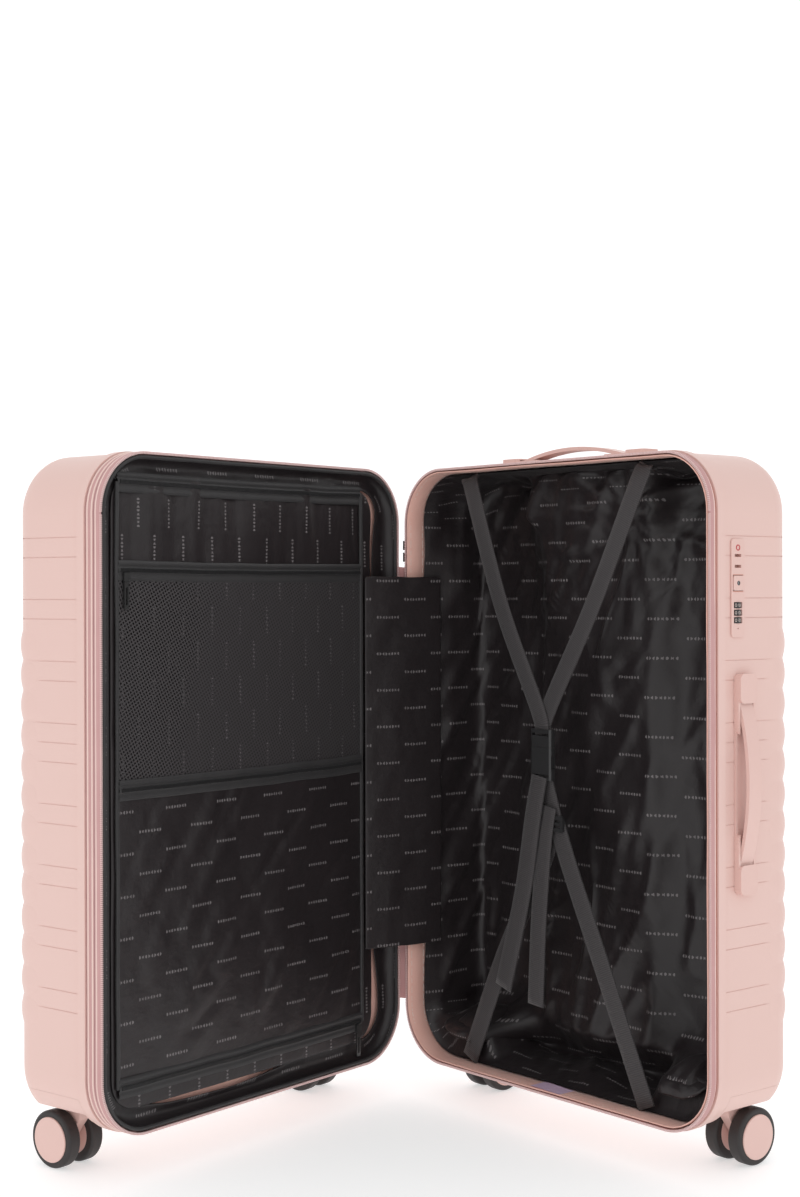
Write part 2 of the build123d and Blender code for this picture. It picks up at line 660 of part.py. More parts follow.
# ---------------------------------------------------------------- trolley
def tube_pair(width, thick, low, high):
    """Two upright rectangular tubes."""
    with BuildPart() as tubes:
        with BuildSketch(Plane.XY.offset(low)):
            for x in (MID_X - TUBE_SPACING / 2, MID_X + TUBE_SPACING / 2):
                with Locations((x, TUBE_DEPTH)):
                    RectangleRounded(width, thick, TUBE_CORNER)
                    bore = (width - 2 * TUBE_WALL, thick - 2 * TUBE_WALL)
                    RectangleRounded(*bore, TUBE_CORNER - TUBE_WALL, mode=Mode.SUBTRACT)
        extrude(amount=high - low)
    return tubes.part


def stage(number):
    """Outside width and thickness of a tube: 0 is the fixed one."""
    step = 2 * (TUBE_WALL + TUBE_SLIP)
    return TUBE_X - number * step, TUBE_Y - number * step


def cup_box(grow, low, high):
    """The well's outline, grown by some amount, from one height to another."""
    half_x, half_y = CUP_WIDTH / 2 + grow, CUP_Y / 2 + grow
    far_corner = (MID_X + half_x, CUP_DEPTH + half_y, high)
    return box_between((MID_X - half_x, CUP_DEPTH - half_y, low), far_corner)


def trolley_cup():
    """The well in the top wall that the grip drops into."""
    floor = TOP_WALL - CUP_HEIGHT
    mid_x, mid_y = stage(1)
    with BuildPart() as cup:
        add(cup_box(0, floor, TOP_WALL + CUP_LIP))
        add(cup_box(-CUP_WALL, floor + CUP_WALL, TOP), mode=Mode.SUBTRACT)
        with BuildSketch(Plane.XY.offset(floor - 1)):
            for x in (MID_X - TUBE_SPACING / 2, MID_X + TUBE_SPACING / 2):
                with Locations((x, TUBE_DEPTH)):
                    Rectangle(mid_x + 2 * TUBE_SLIP, mid_y + 2 * TUBE_SLIP)
        extrude(amount=CUP_WALL + 2, mode=Mode.SUBTRACT)
    return cup.part


def trolley_base():
    """The foot that holds the lower ends of the fixed tubes."""
    low = (MID_X - BASE_HALF, TUBE_DEPTH - BASE_THICK / 2, TUBE_FOOT - BASE_HEIGHT)
    with BuildPart() as base:
        add(box_between(low, (MID_X + BASE_HALF, TUBE_DEPTH + BASE_THICK / 2, TUBE_FOOT)))
        fillet(base.edges().filter_by(Axis.Z), 4)
    return base.part


def trolley_grip():
    """The bar across the tubes, with a well for its button."""
    high = TOP_WALL + GRIP_PROUD
    half_x = CUP_WIDTH / 2 - CUP_WALL - 1
    well_x, well_y = BUTTON_LENGTH / 2 + BUTTON_GAP, BUTTON_Y / 2 + BUTTON_GAP
    with BuildPart() as grip:
        low_corner = (MID_X - half_x, CUP_DEPTH - GRIP_Y / 2, high - GRIP_HEIGHT)
        add(box_between(low_corner, (MID_X + half_x, CUP_DEPTH + GRIP_Y / 2, high)))
        fillet(grip.edges().filter_by(Axis.X), GRIP_ROUND)
        well_foot = (MID_X - well_x, CUP_DEPTH - well_y, high - BUTTON_WELL)
        well = box_between(well_foot, (MID_X + well_x, CUP_DEPTH + well_y, high + 1))
        add(well, mode=Mode.SUBTRACT)
    return grip.part


def trolley_button():
    """The button that frees the tubes, standing proud of the grip by its travel."""
    high = TOP_WALL + GRIP_PROUD
    half_x, half_y = BUTTON_LENGTH / 2, BUTTON_Y / 2
    foot = high - BUTTON_WELL + BUTTON_TRAVEL + BUTTON_GAP
    with BuildPart() as button:
        head = (MID_X + half_x, CUP_DEPTH + half_y, high + BUTTON_TRAVEL)
        add(box_between((MID_X - half_x, CUP_DEPTH - half_y, foot), head))
        fillet(button.edges().filter_by(Axis.Z), 4)
        fillet(button.faces().sort_by(Axis.Z)[-1].edges(), 0.8)
    return button.part


# ---------------------------------------------------------------- carry handles and lock
def handle_sockets(place):
    """A shallow frame on a wall with a roofed pocket at either end; the wall is z = 0."""
    with BuildPart(place) as sockets:
        with BuildSketch(place):
            RectangleRounded(HANDLE_LENGTH, HANDLE_WIDTH, HANDLE_CORNER)
        extrude(amount=HANDLE_RIM)
        for sign in (-1, 1):
            with BuildSketch(place):
                with Locations((sign * (HANDLE_LENGTH - CHEEK_LENGTH) / 2, 0)):
                    RectangleRounded(CHEEK_LENGTH, HANDLE_WIDTH, HANDLE_CORNER)
            extrude(amount=CHEEK_HEIGHT)
            with BuildSketch(place):
                with Locations((sign * (HANDLE_LENGTH - SOCKET_LENGTH) / 2, 0)):
                    RectangleRounded(SOCKET_LENGTH, HANDLE_WIDTH, HANDLE_CORNER)
            extrude(amount=SOCKET_HEIGHT)
        with Locations((0, 0, HANDLE_FLOOR)):
            inside = HANDLE_LENGTH - 2 * SOCKET_WALL
            high = SOCKET_HEIGHT - SOCKET_ROOF - HANDLE_FLOOR
            Box(inside, STRAP_GRIP_WIDTH + 1, high, align=STANDING, mode=Mode.SUBTRACT)
    return sockets.part


def handle_grip(place):
    """A bowed strap with flat ends that stay inside the sockets."""
    tip = HANDLE_LENGTH / 2 - SOCKET_WALL - 4
    mouth = HANDLE_LENGTH / 2 - SOCKET_LENGTH - 1
    start = place.origin - place.y_dir * (STRAP_GRIP_WIDTH / 2)
    profile = Plane(origin=start, x_dir=place.x_dir, z_dir=place.y_dir)
    up = profile.y_dir.dot(place.z_dir)
    low, bow = up * STRAP_GRIP_LIFT, up * (STRAP_GRIP_LIFT + GRIP_BOW)
    under = [(-tip, low), (-mouth, low), (0, bow), (mouth, low), (tip, low)]
    over = [(u, v + up * STRAP_GRIP_THICK) for u, v in under]
    with BuildPart() as grip:
        with BuildSketch(profile):
            with BuildLine():
                Line(under[0], under[1])
                ThreePointArc(under[1], under[2], under[3])
                Line(under[3], under[4])
                Line(under[4], over[4])
                Line(over[4], over[3])
                ThreePointArc(over[3], over[2], over[1])
                Line(over[1], over[0])
                Line(over[0], under[0])
            make_face()
        extrude(amount=STRAP_GRIP_WIDTH)
    return grip.part


def side_wall_plane(depth, z, out):
    """On the lock side wall: x runs up the wall, z points out of it."""
    return Plane(origin=(SIDE_WALL + out, depth, z), x_dir=(0, 0, 1), z_dir=(1, 0, 0))


def top_wall_plane(depth, out):
    """On the top wall: z points up out of it."""
    return Plane(origin=(MID_X, depth, TOP_WALL + out), x_dir=(1, 0, 0), z_dir=(0, 0, 1))


def lock_plate():
    """Escutcheon and body of the combination lock."""
    margin = 2 * LOCK_MARGIN
    body = (LOCK_LENGTH - 4 * LOCK_BODY_INSET, LOCK_WIDTH - 2 * LOCK_BODY_INSET)
    with BuildPart(side_wall_plane(LOCK_Y, LOCK_Z, FIT_GAP)) as lock:
        Box(LOCK_LENGTH, LOCK_WIDTH, LOCK_PROUD - FIT_GAP, align=STANDING)
        fillet(lock.edges().filter_by(Axis.X), LOCK_CORNER)
        Box(*body, LOCK_BODY, align=HANGING)
        for z in dial_heights():
            with Locations((z - LOCK_Z, 0, 0)):
                well = (DIAL_THICK + margin, 2 * DIAL_R + margin, 2 * (LOCK_BODY - 1.4))
                Box(*well, mode=Mode.SUBTRACT)
        with Locations((KEY_Z, 0, LOCK_PROUD)):
            opening = RELEASE_SIZE + margin
            Box(opening, opening, 2 * (RELEASE_THICK + RELEASE_TRAVEL), mode=Mode.SUBTRACT)
        for slot in PULLER_SLOTS:
            with Locations((slot, 0, LOCK_PROUD)):
                Box(*PULLER_SLOT, 12, mode=Mode.SUBTRACT)
        with Locations((RESET_HOLE_Z, 0, LOCK_PROUD)):
            Cylinder(RESET_HOLE_R, 8, mode=Mode.SUBTRACT)
        with Locations(Location((DIALS_Z, 0, dial_centre() - SIDE_WALL - FIT_GAP), (0, 90, 0))):
            Cylinder(DIAL_PIN_R, 3 * DIAL_PITCH + 2)
    return lock.part


def dial_heights():
    return [LOCK_Z + DIALS_Z + k * DIAL_PITCH for k in (-1, 0, 1)]


def dial_centre():
    return SIDE_WALL + LOCK_PROUD + DIAL_SHOW - DIAL_R


def dial(z):
    """A number wheel with shallow finger flutes, turning on an upright pin."""
    with BuildPart() as wheel:
        with BuildSketch(Plane.XY.offset(z - DIAL_THICK / 2)):
            with Locations((dial_centre(), LOCK_Y)):
                Circle(DIAL_R)
                Circle(DIAL_PIN_R + RUNNING_GAP, mode=Mode.SUBTRACT)
                with PolarLocations(DIAL_R + 0.6, FLUTES, start_angle=180 / FLUTES):
                    Circle(FLUTE_R, mode=Mode.SUBTRACT)
        extrude(amount=DIAL_THICK)
    return wheel.part


def lock_release():
    """Square press button with the keyhole in its middle."""
    with BuildPart(side_wall_plane(LOCK_Y, LOCK_Z + KEY_Z, LOCK_PROUD + RELEASE_TRAVEL)) as button:
        Box(RELEASE_SIZE, RELEASE_SIZE, RELEASE_THICK, align=HANGING)
        fillet(button.edges().filter_by(Axis.X), 2)
        Cylinder(KEYHOLE_R, RELEASE_THICK, mode=Mode.SUBTRACT)
    return button.part


def side_feet(side):
    """Two low pads on the spine side, for laying the case down."""
    half = FOOT_LENGTH / 2
    depths = (FOOT_DEPTH - FOOT_WIDTH / 2, FOOT_DEPTH + FOOT_WIDTH / 2)
    with BuildPart() as feet:
        for z in FOOT_HEIGHTS:
            xs = (-FOOT_PROUD, FLANGE_STEP - FIT_GAP)
            add(half_box(side, xs, depths, (z - half, z + half)))
        fillet(feet.edges().filter_by(Axis.X), FOOT_ROUND)
    return feet.part


# ---------------------------------------------------------------- assembly
def group(*parts):
    """Several solids that share one node."""
    with BuildPart() as joined:
        add(parts)
    return joined.part


def straps(rows):
    """All the lengths of webbing in one table."""
    return group(*[strap(*row) for row in rows])


def both_mounts(side, start, depth):
    """The caster mounts of one half."""
    return group(*[caster_mount(side, end, start, depth) for end in (HINGE_SIDE, LOCK_SIDE)])


def back_pieces():
    """Everything of the back half but its casters."""
    cup_hole = cup_box(FIT_GAP, TOP_WALL - 2 * CLEAR, TOP + CLEAR)
    middle, inner = stage(1), stage(2)
    foot, floor = TUBE_FOOT, TOP_WALL - CUP_HEIGHT
    grip_low = TOP_WALL + GRIP_PROUD - GRIP_HEIGHT
    on_side = side_wall_plane(SIDE_HANDLE_Y, SIDE_HANDLE_Z, FIT_GAP)
    on_top = top_wall_plane(TOP_HANDLE_Y, FIT_GAP)
    pieces = {
        "back_shell": half_shell(BACK, BACK_START, BACK_DEPTH, [lock_hole(), cup_hole]),
        "back_zip_tape": ring(BACK, TAPE_INSET, TAPE_THICK, RIM_GAP, TAPE_WIDTH),
        "back_binding": ring(BACK, BINDING_INSET, BINDING_THICK, RIM_GAP, BINDING_WIDTH),
        "back_lining": lining(BACK, BINDING_WIDTH + 0.5, BACK_LINING_DEPTH),
        "back_caster_mounts": both_mounts(BACK, BACK_START, BACK_DEPTH),
        "back_side_feet": side_feet(BACK),
        "trolley_cup": trolley_cup(),
        "trolley_outer_tubes": tube_pair(*stage(0), foot, floor),
        "trolley_base": trolley_base(),
        "trolley_middle_tubes": tube_pair(*middle, foot + TUBE_STEP, floor + CUP_WALL + COLLAR),
        "trolley_inner_tubes": tube_pair(*inner, foot + 2 * TUBE_STEP, grip_low),
        "trolley_grip": trolley_grip(),
        "trolley_button": trolley_button(),
        "side_handle_sockets": handle_sockets(on_side),
        "side_handle_grip": handle_grip(on_side),
        "top_handle_sockets": handle_sockets(on_top),
        "top_handle_grip": handle_grip(on_top),
        "lock_plate": lock_plate(),
        "lock_release": lock_release(),
        "upper_straps": straps(UPPER_STRAPS),
        "lower_straps": straps(LOWER_STRAPS),
        "strap_tails": straps(STRAP_TAILS),
        "strap_adjuster": strap_adjuster(),
        "buckle_socket": buckle_socket(),
        "buckle_plug": buckle_plug(),
        "main_zip_sliders": main_zip_slider(),
    }
    for name, z in zip(("lower", "middle", "upper"), dial_heights()):
        pieces[f"lock_dial_{name}"] = dial(z)
    return pieces


def lid_pieces():
    """Everything of the lid but its casters."""
    front = PANEL_FRONT
    slider_front = front - ZIP_THICK - FIT_GAP
    folded = (TAPE_WIDTH + FIT_GAP, TAPE_WIDTH + FIT_GAP + EXPANDER_WIDTH)
    divider = (PANEL_HINGE_EDGE, PANEL_LOCK_EDGE, PANEL_BOTTOM, PANEL_TOP)
    mesh = (POCKET_HINGE_EDGE, POCKET_LOCK_EDGE, MESH_BOTTOM, MESH_TOP)
    mesh_parked = POCKET_LOCK_EDGE - SLIDER_MARGIN
    lower_parked = POCKET_HINGE_EDGE + SLIDER_MARGIN
    return {
        "lid_shell": half_shell(LID, LID_START, LID_DEPTH, []),
        "lid_zip_tape": ring(LID, TAPE_INSET, TAPE_THICK, RIM_GAP, TAPE_WIDTH),
        "lid_expander": ring(LID, EXPANDER_INSET, TAPE_THICK, *folded),
        "lid_gusset": ring(LID, BINDING_INSET, BINDING_THICK, RIM_GAP, GUSSET_WIDTH),
        "lid_lining": lining(LID, GUSSET_WIDTH + 0.5, LID_LINING_DEPTH),
        "lid_caster_mounts": both_mounts(LID, LID_START, LID_DEPTH),
        "lid_side_feet": side_feet(LID),
        "divider_panel": panel(*divider, front, PANEL_THICK, PANEL_R),
        "mesh_pocket": panel(*mesh, front - POCKET_THICK, POCKET_THICK, POCKET_R),
        "pocket_zips": pocket_zips(),
        "mesh_zip_slider": zip_slider(mesh_parked, ZIP_HEIGHTS[1], slider_front),
        "lower_zip_slider": zip_slider(lower_parked, ZIP_HEIGHTS[0], slider_front),
    }


def caster_pieces(side, end):
    """One caster: its fork, axle, tyres and hubs."""
    half = "back" if side == BACK else "lid"
    edge = "hinge" if end == HINGE_SIDE else "lock"
    name = f"{half}_{edge}_caster"
    return {
        f"{name}_fork": fork(side, end),
        f"{name}_axle": wheel_axle(side, end),
        f"{name}_tyres": wheel_pair(tyre, side, end),
        f"{name}_hubs": wheel_pair(hub, side, end),
    }


def lock_hole():
    """The hole in the side wall for the lock body."""
    half_y = LOCK_WIDTH / 2 - LOCK_BODY_INSET + FIT_GAP
    half_z = LOCK_LENGTH / 2 - 2 * LOCK_BODY_INSET + FIT_GAP
    low = (SIDE_WALL - CLEAR, LOCK_Y - half_y, LOCK_Z - half_z)
    return box_between(low, (WIDTH, LOCK_Y + half_y, LOCK_Z + half_z))


def spine_pieces():
    """The cloth that joins the halves, as it stands with the case open."""
    hinge = (-HINGE_OFFSET, 0)
    lid_edge = open_lid_point(-HINGE_SEWN, TAPE_WIDTH + EXPANDER_WIDTH)
    back_edge = (-HINGE_SEWN, TAPE_WIDTH)
    cloth = spine_band([lid_edge, hinge, back_edge], HINGE_THICK, HINGE_BOTTOM, HINGE_TOP)
    with BuildPart() as hinge_cloth:
        add(cloth)
        with Locations((*hinge, HINGE_BOTTOM)):
            Cylinder(HINGE_CORD_R, HINGE_TOP - HINGE_BOTTOM, align=STANDING)
    flap = [open_lid_point(*FLAP_LID), FLAP_BACK]
    return {
        "spine_hinge": hinge_cloth.part,
        "spine_flap": spine_band(flap, FLAP_THICK, FLAP_BOTTOM, FLAP_TOP),
    }


def main():
    to_hinge = Location((-HINGE_OFFSET, 0, 0))
    swing = to_hinge * Rot(0, 0, -OPEN_ANGLE) * to_hinge.inverse()
    fixed, swung = back_pieces(), lid_pieces()
    for end in (HINGE_SIDE, LOCK_SIDE):
        fixed.update(caster_pieces(BACK, end))
        swung.update(caster_pieces(LID, end))
    pieces = fixed | spine_pieces() | {name: piece.moved(swing) for name, piece in swung.items()}
    whole = Compound(children=[piece.moved(Location()) for piece in pieces.values()])
    box = whole.bounding_box()
    middle_x, middle_y = (box.min.X + box.max.X) / 2, (box.min.Y + box.max.Y) / 2
    hinge = f"x {-HINGE_OFFSET - middle_x:.4f}, y {-middle_y:.4f}"
    print(f"hinge line stands at {hinge}, lowest {box.min.Z:.4f}")
    os.makedirs("parts", exist_ok=True)
    for name, piece in pieces.items():
        placed = piece.moved(Location((-middle_x, -middle_y, 0)))
        placed.label = name
        export_step(placed, f"parts/{name}.step")


main()
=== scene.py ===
"""The looks of a large hard shell suitcase, standing open like a book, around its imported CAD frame."""

import json
from math import atan2, ceil, cos, hypot, pi, radians, sin

import bmesh
import bpy
import numpy as np
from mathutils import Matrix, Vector, noise


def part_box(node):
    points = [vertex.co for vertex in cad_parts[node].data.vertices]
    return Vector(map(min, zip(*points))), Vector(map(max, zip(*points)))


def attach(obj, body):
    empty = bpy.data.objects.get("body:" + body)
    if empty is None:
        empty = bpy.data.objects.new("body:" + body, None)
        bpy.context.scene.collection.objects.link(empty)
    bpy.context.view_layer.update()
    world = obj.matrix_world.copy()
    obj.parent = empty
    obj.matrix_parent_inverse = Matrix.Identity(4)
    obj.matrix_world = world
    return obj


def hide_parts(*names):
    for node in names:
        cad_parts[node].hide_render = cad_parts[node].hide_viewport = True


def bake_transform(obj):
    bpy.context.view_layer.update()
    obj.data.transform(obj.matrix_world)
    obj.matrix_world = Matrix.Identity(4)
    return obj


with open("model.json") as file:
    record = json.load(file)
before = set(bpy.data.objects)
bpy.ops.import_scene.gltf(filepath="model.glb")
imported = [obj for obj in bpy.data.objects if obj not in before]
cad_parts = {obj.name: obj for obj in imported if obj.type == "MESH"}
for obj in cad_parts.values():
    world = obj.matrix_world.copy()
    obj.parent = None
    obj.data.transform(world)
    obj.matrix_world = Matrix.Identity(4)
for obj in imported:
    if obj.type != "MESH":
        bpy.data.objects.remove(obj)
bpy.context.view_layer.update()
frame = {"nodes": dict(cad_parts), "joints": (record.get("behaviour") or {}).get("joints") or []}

# ---------------------------------------------------------------- the frame's own sizes
MM = 0.001
JOINTS = {j["name"]: j for j in frame["joints"]}
PIVOT = Vector(JOINTS["lid_hinge"]["pos_m"])
OPEN = radians(JOINTS["lid_hinge"]["range_deg"][1])
SHELL_LOW, SHELL_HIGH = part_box("back_shell")
ORIGIN_X = SHELL_LOW.x
WIDTH = (SHELL_HIGH.x - SHELL_LOW.x) / MM
BOTTOM, TOP = SHELL_LOW.z / MM, SHELL_HIGH.z / MM
BACK_DEPTH = (SHELL_HIGH.y - PIVOT.y) / MM
LID_DEPTH = BACK_DEPTH + 4
CORNER_R = 64.0
MID_X, MID_Z = WIDTH / 2, (BOTTOM + TOP) / 2


def at(side, x, depth, z):
    """A point of a half, given in mm from its hinge edge, from its rim plane and from the floor."""
    if side == "back":
        return Vector((ORIGIN_X + x * MM, PIVOT.y + depth * MM, z * MM))
    along = ORIGIN_X + x * MM - PIVOT.x
    y = -depth * MM
    return Vector((PIVOT.x + along * cos(OPEN) + y * sin(OPEN), PIVOT.y + y * cos(OPEN) - along * sin(OPEN), z * MM))


# ---------------------------------------------------------------- camera, light and floor
LENS = 56.06
CAMERA_AT = (1718, -1423, 599)  # mm, in the back half's own measures
CAMERA_TURN = (89.82, 0.13, 50.47)  # degrees


def make_camera():
    data = bpy.data.cameras.new("camera")
    data.lens = LENS
    camera = bpy.data.objects.new("camera", data)
    camera.location = at("back", *CAMERA_AT)
    camera.rotation_euler = [radians(a) for a in CAMERA_TURN]
    bpy.context.scene.collection.objects.link(camera)
    bpy.context.scene.camera = camera


def area_light(name, where, target, size, power, colour=(1, 1, 1)):
    data = bpy.data.lights.new(name, "AREA")
    data.shape, data.size, data.energy, data.color = "SQUARE", size, power, colour
    light = bpy.data.objects.new(name, data)
    light.location = where
    light.rotation_euler = (Vector(target) - Vector(where)).to_track_quat("-Z", "Y").to_euler()
    bpy.context.scene.collection.objects.link(light)


def make_studio():
    bpy.context.scene.view_settings.view_transform = "Standard"
    world = bpy.data.worlds.new("studio")
    bpy.context.scene.world = world
    world.use_nodes = True
    back = world.node_tree.nodes["Background"]
    back.inputs["Color"].default_value = (1.0, 1.0, 1.0, 1)
    back.inputs["Strength"].default_value = 0.86
    area_light("key", (2.6, -1.6, 2.4), (0, 0, 0.4), 2.0, 6)
    area_light("fill", (0.0, -2.8, 1.5), (0, 0, 0.4), 2.4, 2.6)
    area_light("top", (-0.4, 0.2, 3.2), (0, 0, 0.3), 3.0, 6)
    mesh = bpy.data.meshes.new("floor")
    r, rise, n = 9.0, 4.0, 14
    verts, faces = [], []
    curve = [(-2.6 - 1.5 * sin(a), 1.5 - 1.5 * cos(a)) for a in np.linspace(0.1, pi / 2, n)]
    path = [(4.0, 0.0), (-2.6, 0.0)] + curve
    path.append((-4.1, rise))
    look = Vector((cos(radians(140.47)), sin(radians(140.47)), 0))
    side = Vector((-look.y, look.x, 0))
    for u, h in path:
        for s in (-r, r):
            p = look * -u + side * s
            verts.append((p.x, p.y, h))
    for k in range(len(path) - 1):
        faces.append((2 * k, 2 * k + 1, 2 * k + 3, 2 * k + 2))
    mesh.from_pydata(verts, [], faces)
    mesh.polygons.foreach_set("use_smooth", [True] * len(faces))
    floor = bpy.data.objects.new("floor", mesh)
    bpy.context.scene.collection.objects.link(floor)
    mat = bpy.data.materials.new("pale_floor")
    mat.use_nodes = True
    shader = mat.node_tree.nodes["Principled BSDF"]
    shader.inputs["Base Color"].default_value = (0.62, 0.62, 0.62, 1)
    shader.inputs["Roughness"].default_value = 0.75
    shader.inputs["Emission Color"].default_value = (1, 1, 1, 1)
    shader.inputs["Emission Strength"].default_value = 0.52
    floor.data.materials.append(mat)


# ---------------------------------------------------------------- materials
class Shader:
    """A short way to write a principled material's node tree."""

    def __init__(self, name, colour, roughness, **sockets):
        self.mat = bpy.data.materials.new(name)
        self.mat.use_nodes = True
        self.tree = self.mat.node_tree
        self.bsdf = self.tree.nodes["Principled BSDF"]
        self.bsdf.inputs["Base Color"].default_value = (*colour, 1)
        self.bsdf.inputs["Roughness"].default_value = roughness
        for key, value in sockets.items():
            self.bsdf.inputs[key.replace("_", " ")].default_value = value
        self.height = None

    def node(self, kind, inputs=None, **settings):
        made = self.tree.nodes.new(kind)
        for key, value in settings.items():
            setattr(made, key, value)
        for key, value in (inputs or {}).items():
            if hasattr(value, "is_output"):
                self.tree.links.new(value, made.inputs[key])
            else:
                made.inputs[key].default_value = value
        return made

    def math(self, operation, a, b=0.0, c=0.0):
        return self.node("ShaderNodeMath", {0: a, 1: b, 2: c}, operation=operation).outputs[0]

    def place(self, scale=(1, 1, 1), uv=False, turn=0.0):
        source = self.node("ShaderNodeTexCoord").outputs["UV" if uv else "Object"]
        moved = self.node("ShaderNodeMapping", {"Vector": source, "Scale": scale, "Rotation": (0, 0, turn)})
        return moved.outputs[0]

    def noise(self, place, scale, detail=4.0, rough=0.5):
        inputs = {"Vector": place, "Scale": scale, "Detail": detail, "Roughness": rough}
        made = self.node("ShaderNodeTexNoise", inputs)
        return made.outputs["Fac"]

    def mix(self, factor, a, b):
        made = self.node("ShaderNodeMix", data_type="RGBA")
        for socket, value in ((made.inputs[0], factor), (made.inputs[6], a), (made.inputs[7], b)):
            if hasattr(value, "is_output"):
                self.tree.links.new(value, socket)
            else:
                socket.default_value = value if isinstance(value, float) else (*value, 1)
        return made.outputs[2]

    def colour(self, output):
        self.tree.links.new(output, self.bsdf.inputs["Base Color"])

    def rough(self, output):
        self.tree.links.new(output, self.bsdf.inputs["Roughness"])

    def bump(self, height, strength, distance):
        inputs = {"Height": height, "Strength": strength, "Distance": distance}
        if self.height is not None:
            inputs["Normal"] = self.height
        self.height = self.node("ShaderNodeBump", inputs).outputs[0]
        self.tree.links.new(self.height, self.bsdf.inputs["Normal"])


def moulded(name, colour, dark, roughness, grain=0.12):
    """Satin moulded plastic: faint mottle, fine spark texture, slightly uneven gloss."""
    s = Shader(name, colour, roughness, Coat_Weight=0.12, Coat_Roughness=0.3)
    place = s.place()
    mottle = s.noise(place, 5.0, 3.0)
    s.colour(s.mix(mottle, dark, colour))
    spread = {0: s.noise(place, 60.0, 2.0), 3: roughness - 0.05, 4: roughness + 0.07}
    s.rough(s.node("ShaderNodeMapRange", spread).outputs[0])
    s.bump(s.noise(place, 2600.0, 2.0), grain, 0.0002)
    s.bump(s.noise(place, 9.0, 2.0), 0.05, 0.004)
    return s.mat


def woven(name, colour, light, pitch, strength=0.35, roughness=0.75, sheen=0.15):
    """Plain weave along the piece's own UV, which is in metres."""
    s = Shader(name, colour, roughness, Sheen_Weight=sheen, Sheen_Roughness=0.4)
    place = s.place(uv=True)
    split = s.node("ShaderNodeSeparateXYZ", {0: place})
    warp = s.math("SINE", s.math("MULTIPLY", split.outputs[0], 2 * pi / pitch))
    weft = s.math("SINE", s.math("MULTIPLY", split.outputs[1], 2 * pi / pitch))
    weave = s.math("MULTIPLY_ADD", s.math("MULTIPLY", warp, weft), 0.5, 0.5)
    s.colour(s.mix(s.math("MULTIPLY", weave, s.noise(place, 40.0, 3.0)), colour, light))
    s.bump(weave, strength, 0.0002)
    return s.mat


def ribbed(name, colour, light, pitch, roughness=0.7):
    """Webbing: ribs across its length, fine threads along it."""
    s = Shader(name, colour, roughness, Sheen_Weight=0.2, Sheen_Roughness=0.4)
    place = s.place(uv=True)
    split = s.node("ShaderNodeSeparateXYZ", {0: place})
    rib = s.math("ABSOLUTE", s.math("SINE", s.math("MULTIPLY", split.outputs[0], pi / pitch)))
    thread = s.math("SINE", s.math("MULTIPLY", split.outputs[1], 2 * pi / (pitch * 0.7)))
    blend = s.math("MULTIPLY_ADD", thread, 0.2, s.math("MULTIPLY", rib, 0.8))
    s.colour(s.mix(blend, colour, light))
    s.bump(blend, 0.5, 0.0004)
    return s.mat


def printed_satin(name, turn=0.0, rows=(0.075, 0.0215), strength=1.0):
    """Near-black satin lining with staggered rows of plain broken dashes."""
    s = Shader(name, (0.02, 0.017, 0.018), 0.4, Sheen_Weight=0.04, Sheen_Roughness=0.4, Specular_IOR_Level=0.45)
    place = s.place(uv=True)
    turned = s.place(uv=True, turn=turn)
    split = s.node("ShaderNodeSeparateXYZ", {0: turned})
    pitch_u, pitch_v = rows
    row = s.math("DIVIDE", split.outputs[1], pitch_v)
    shift = s.math("MULTIPLY", s.math("FLOOR", row), 0.5)
    cell_u = s.math("FRACT", s.math("ADD", s.math("DIVIDE", split.outputs[0], pitch_u), shift))
    cell_v = s.math("FRACT", row)
    mid_v = s.math("ABSOLUTE", s.math("SUBTRACT", cell_v, 0.5))
    letters = s.math("SINE", s.math("MULTIPLY", cell_u, 171.0))
    thin = s.math("LESS_THAN", mid_v, s.math("MULTIPLY_ADD", letters, 0.0005 / pitch_v, 0.0013 / pitch_v))
    inside = s.math("MULTIPLY", s.math("GREATER_THAN", cell_u, 0.2), s.math("LESS_THAN", cell_u, 0.62))
    broken = s.math("LESS_THAN", s.math("FRACT", s.math("MULTIPLY", cell_u, 19.0)), 0.55)
    mark = s.math("MULTIPLY", s.math("MULTIPLY", thin, inside), broken)
    worn = s.math("MULTIPLY", mark, s.math("MULTIPLY_ADD", s.noise(place, 30.0, 2.0), 0.6, 0.2 * strength))
    cloth = s.mix(s.noise(place, 8.0, 4.0), (0.0105, 0.0078, 0.0086), (0.023, 0.0175, 0.019))
    s.colour(s.mix(worn, cloth, (0.30, 0.275, 0.28)))
    twill = s.math("ADD", split.outputs[0], split.outputs[1])
    s.bump(s.math("SINE", s.math("MULTIPLY", twill, 2 * pi / 0.0006)), 0.12, 0.0001)
    s.bump(s.noise(place, 38.0, 5.0, 0.6), 0.3, 0.004)
    return s.mat


def net(name):
    """Hexagonal net with open holes."""
    s = Shader(name, (0.04, 0.035, 0.037), 0.6, Sheen_Weight=0.15)
    place = s.place(uv=True, turn=0.5)
    cells = s.node("ShaderNodeTexVoronoi", {"Vector": place, "Scale": 270.0, "Randomness": 0.0},
                   feature="DISTANCE_TO_EDGE")
    thread = s.math("LESS_THAN", cells.outputs["Distance"], 0.2)
    s.tree.links.new(thread, s.bsdf.inputs["Alpha"])
    s.bump(cells.outputs["Distance"], 0.3, 0.0005)
    return s.mat


PINK, PINK_DARK = (0.79, 0.555, 0.505), (0.765, 0.53, 0.48)
MATS = {}


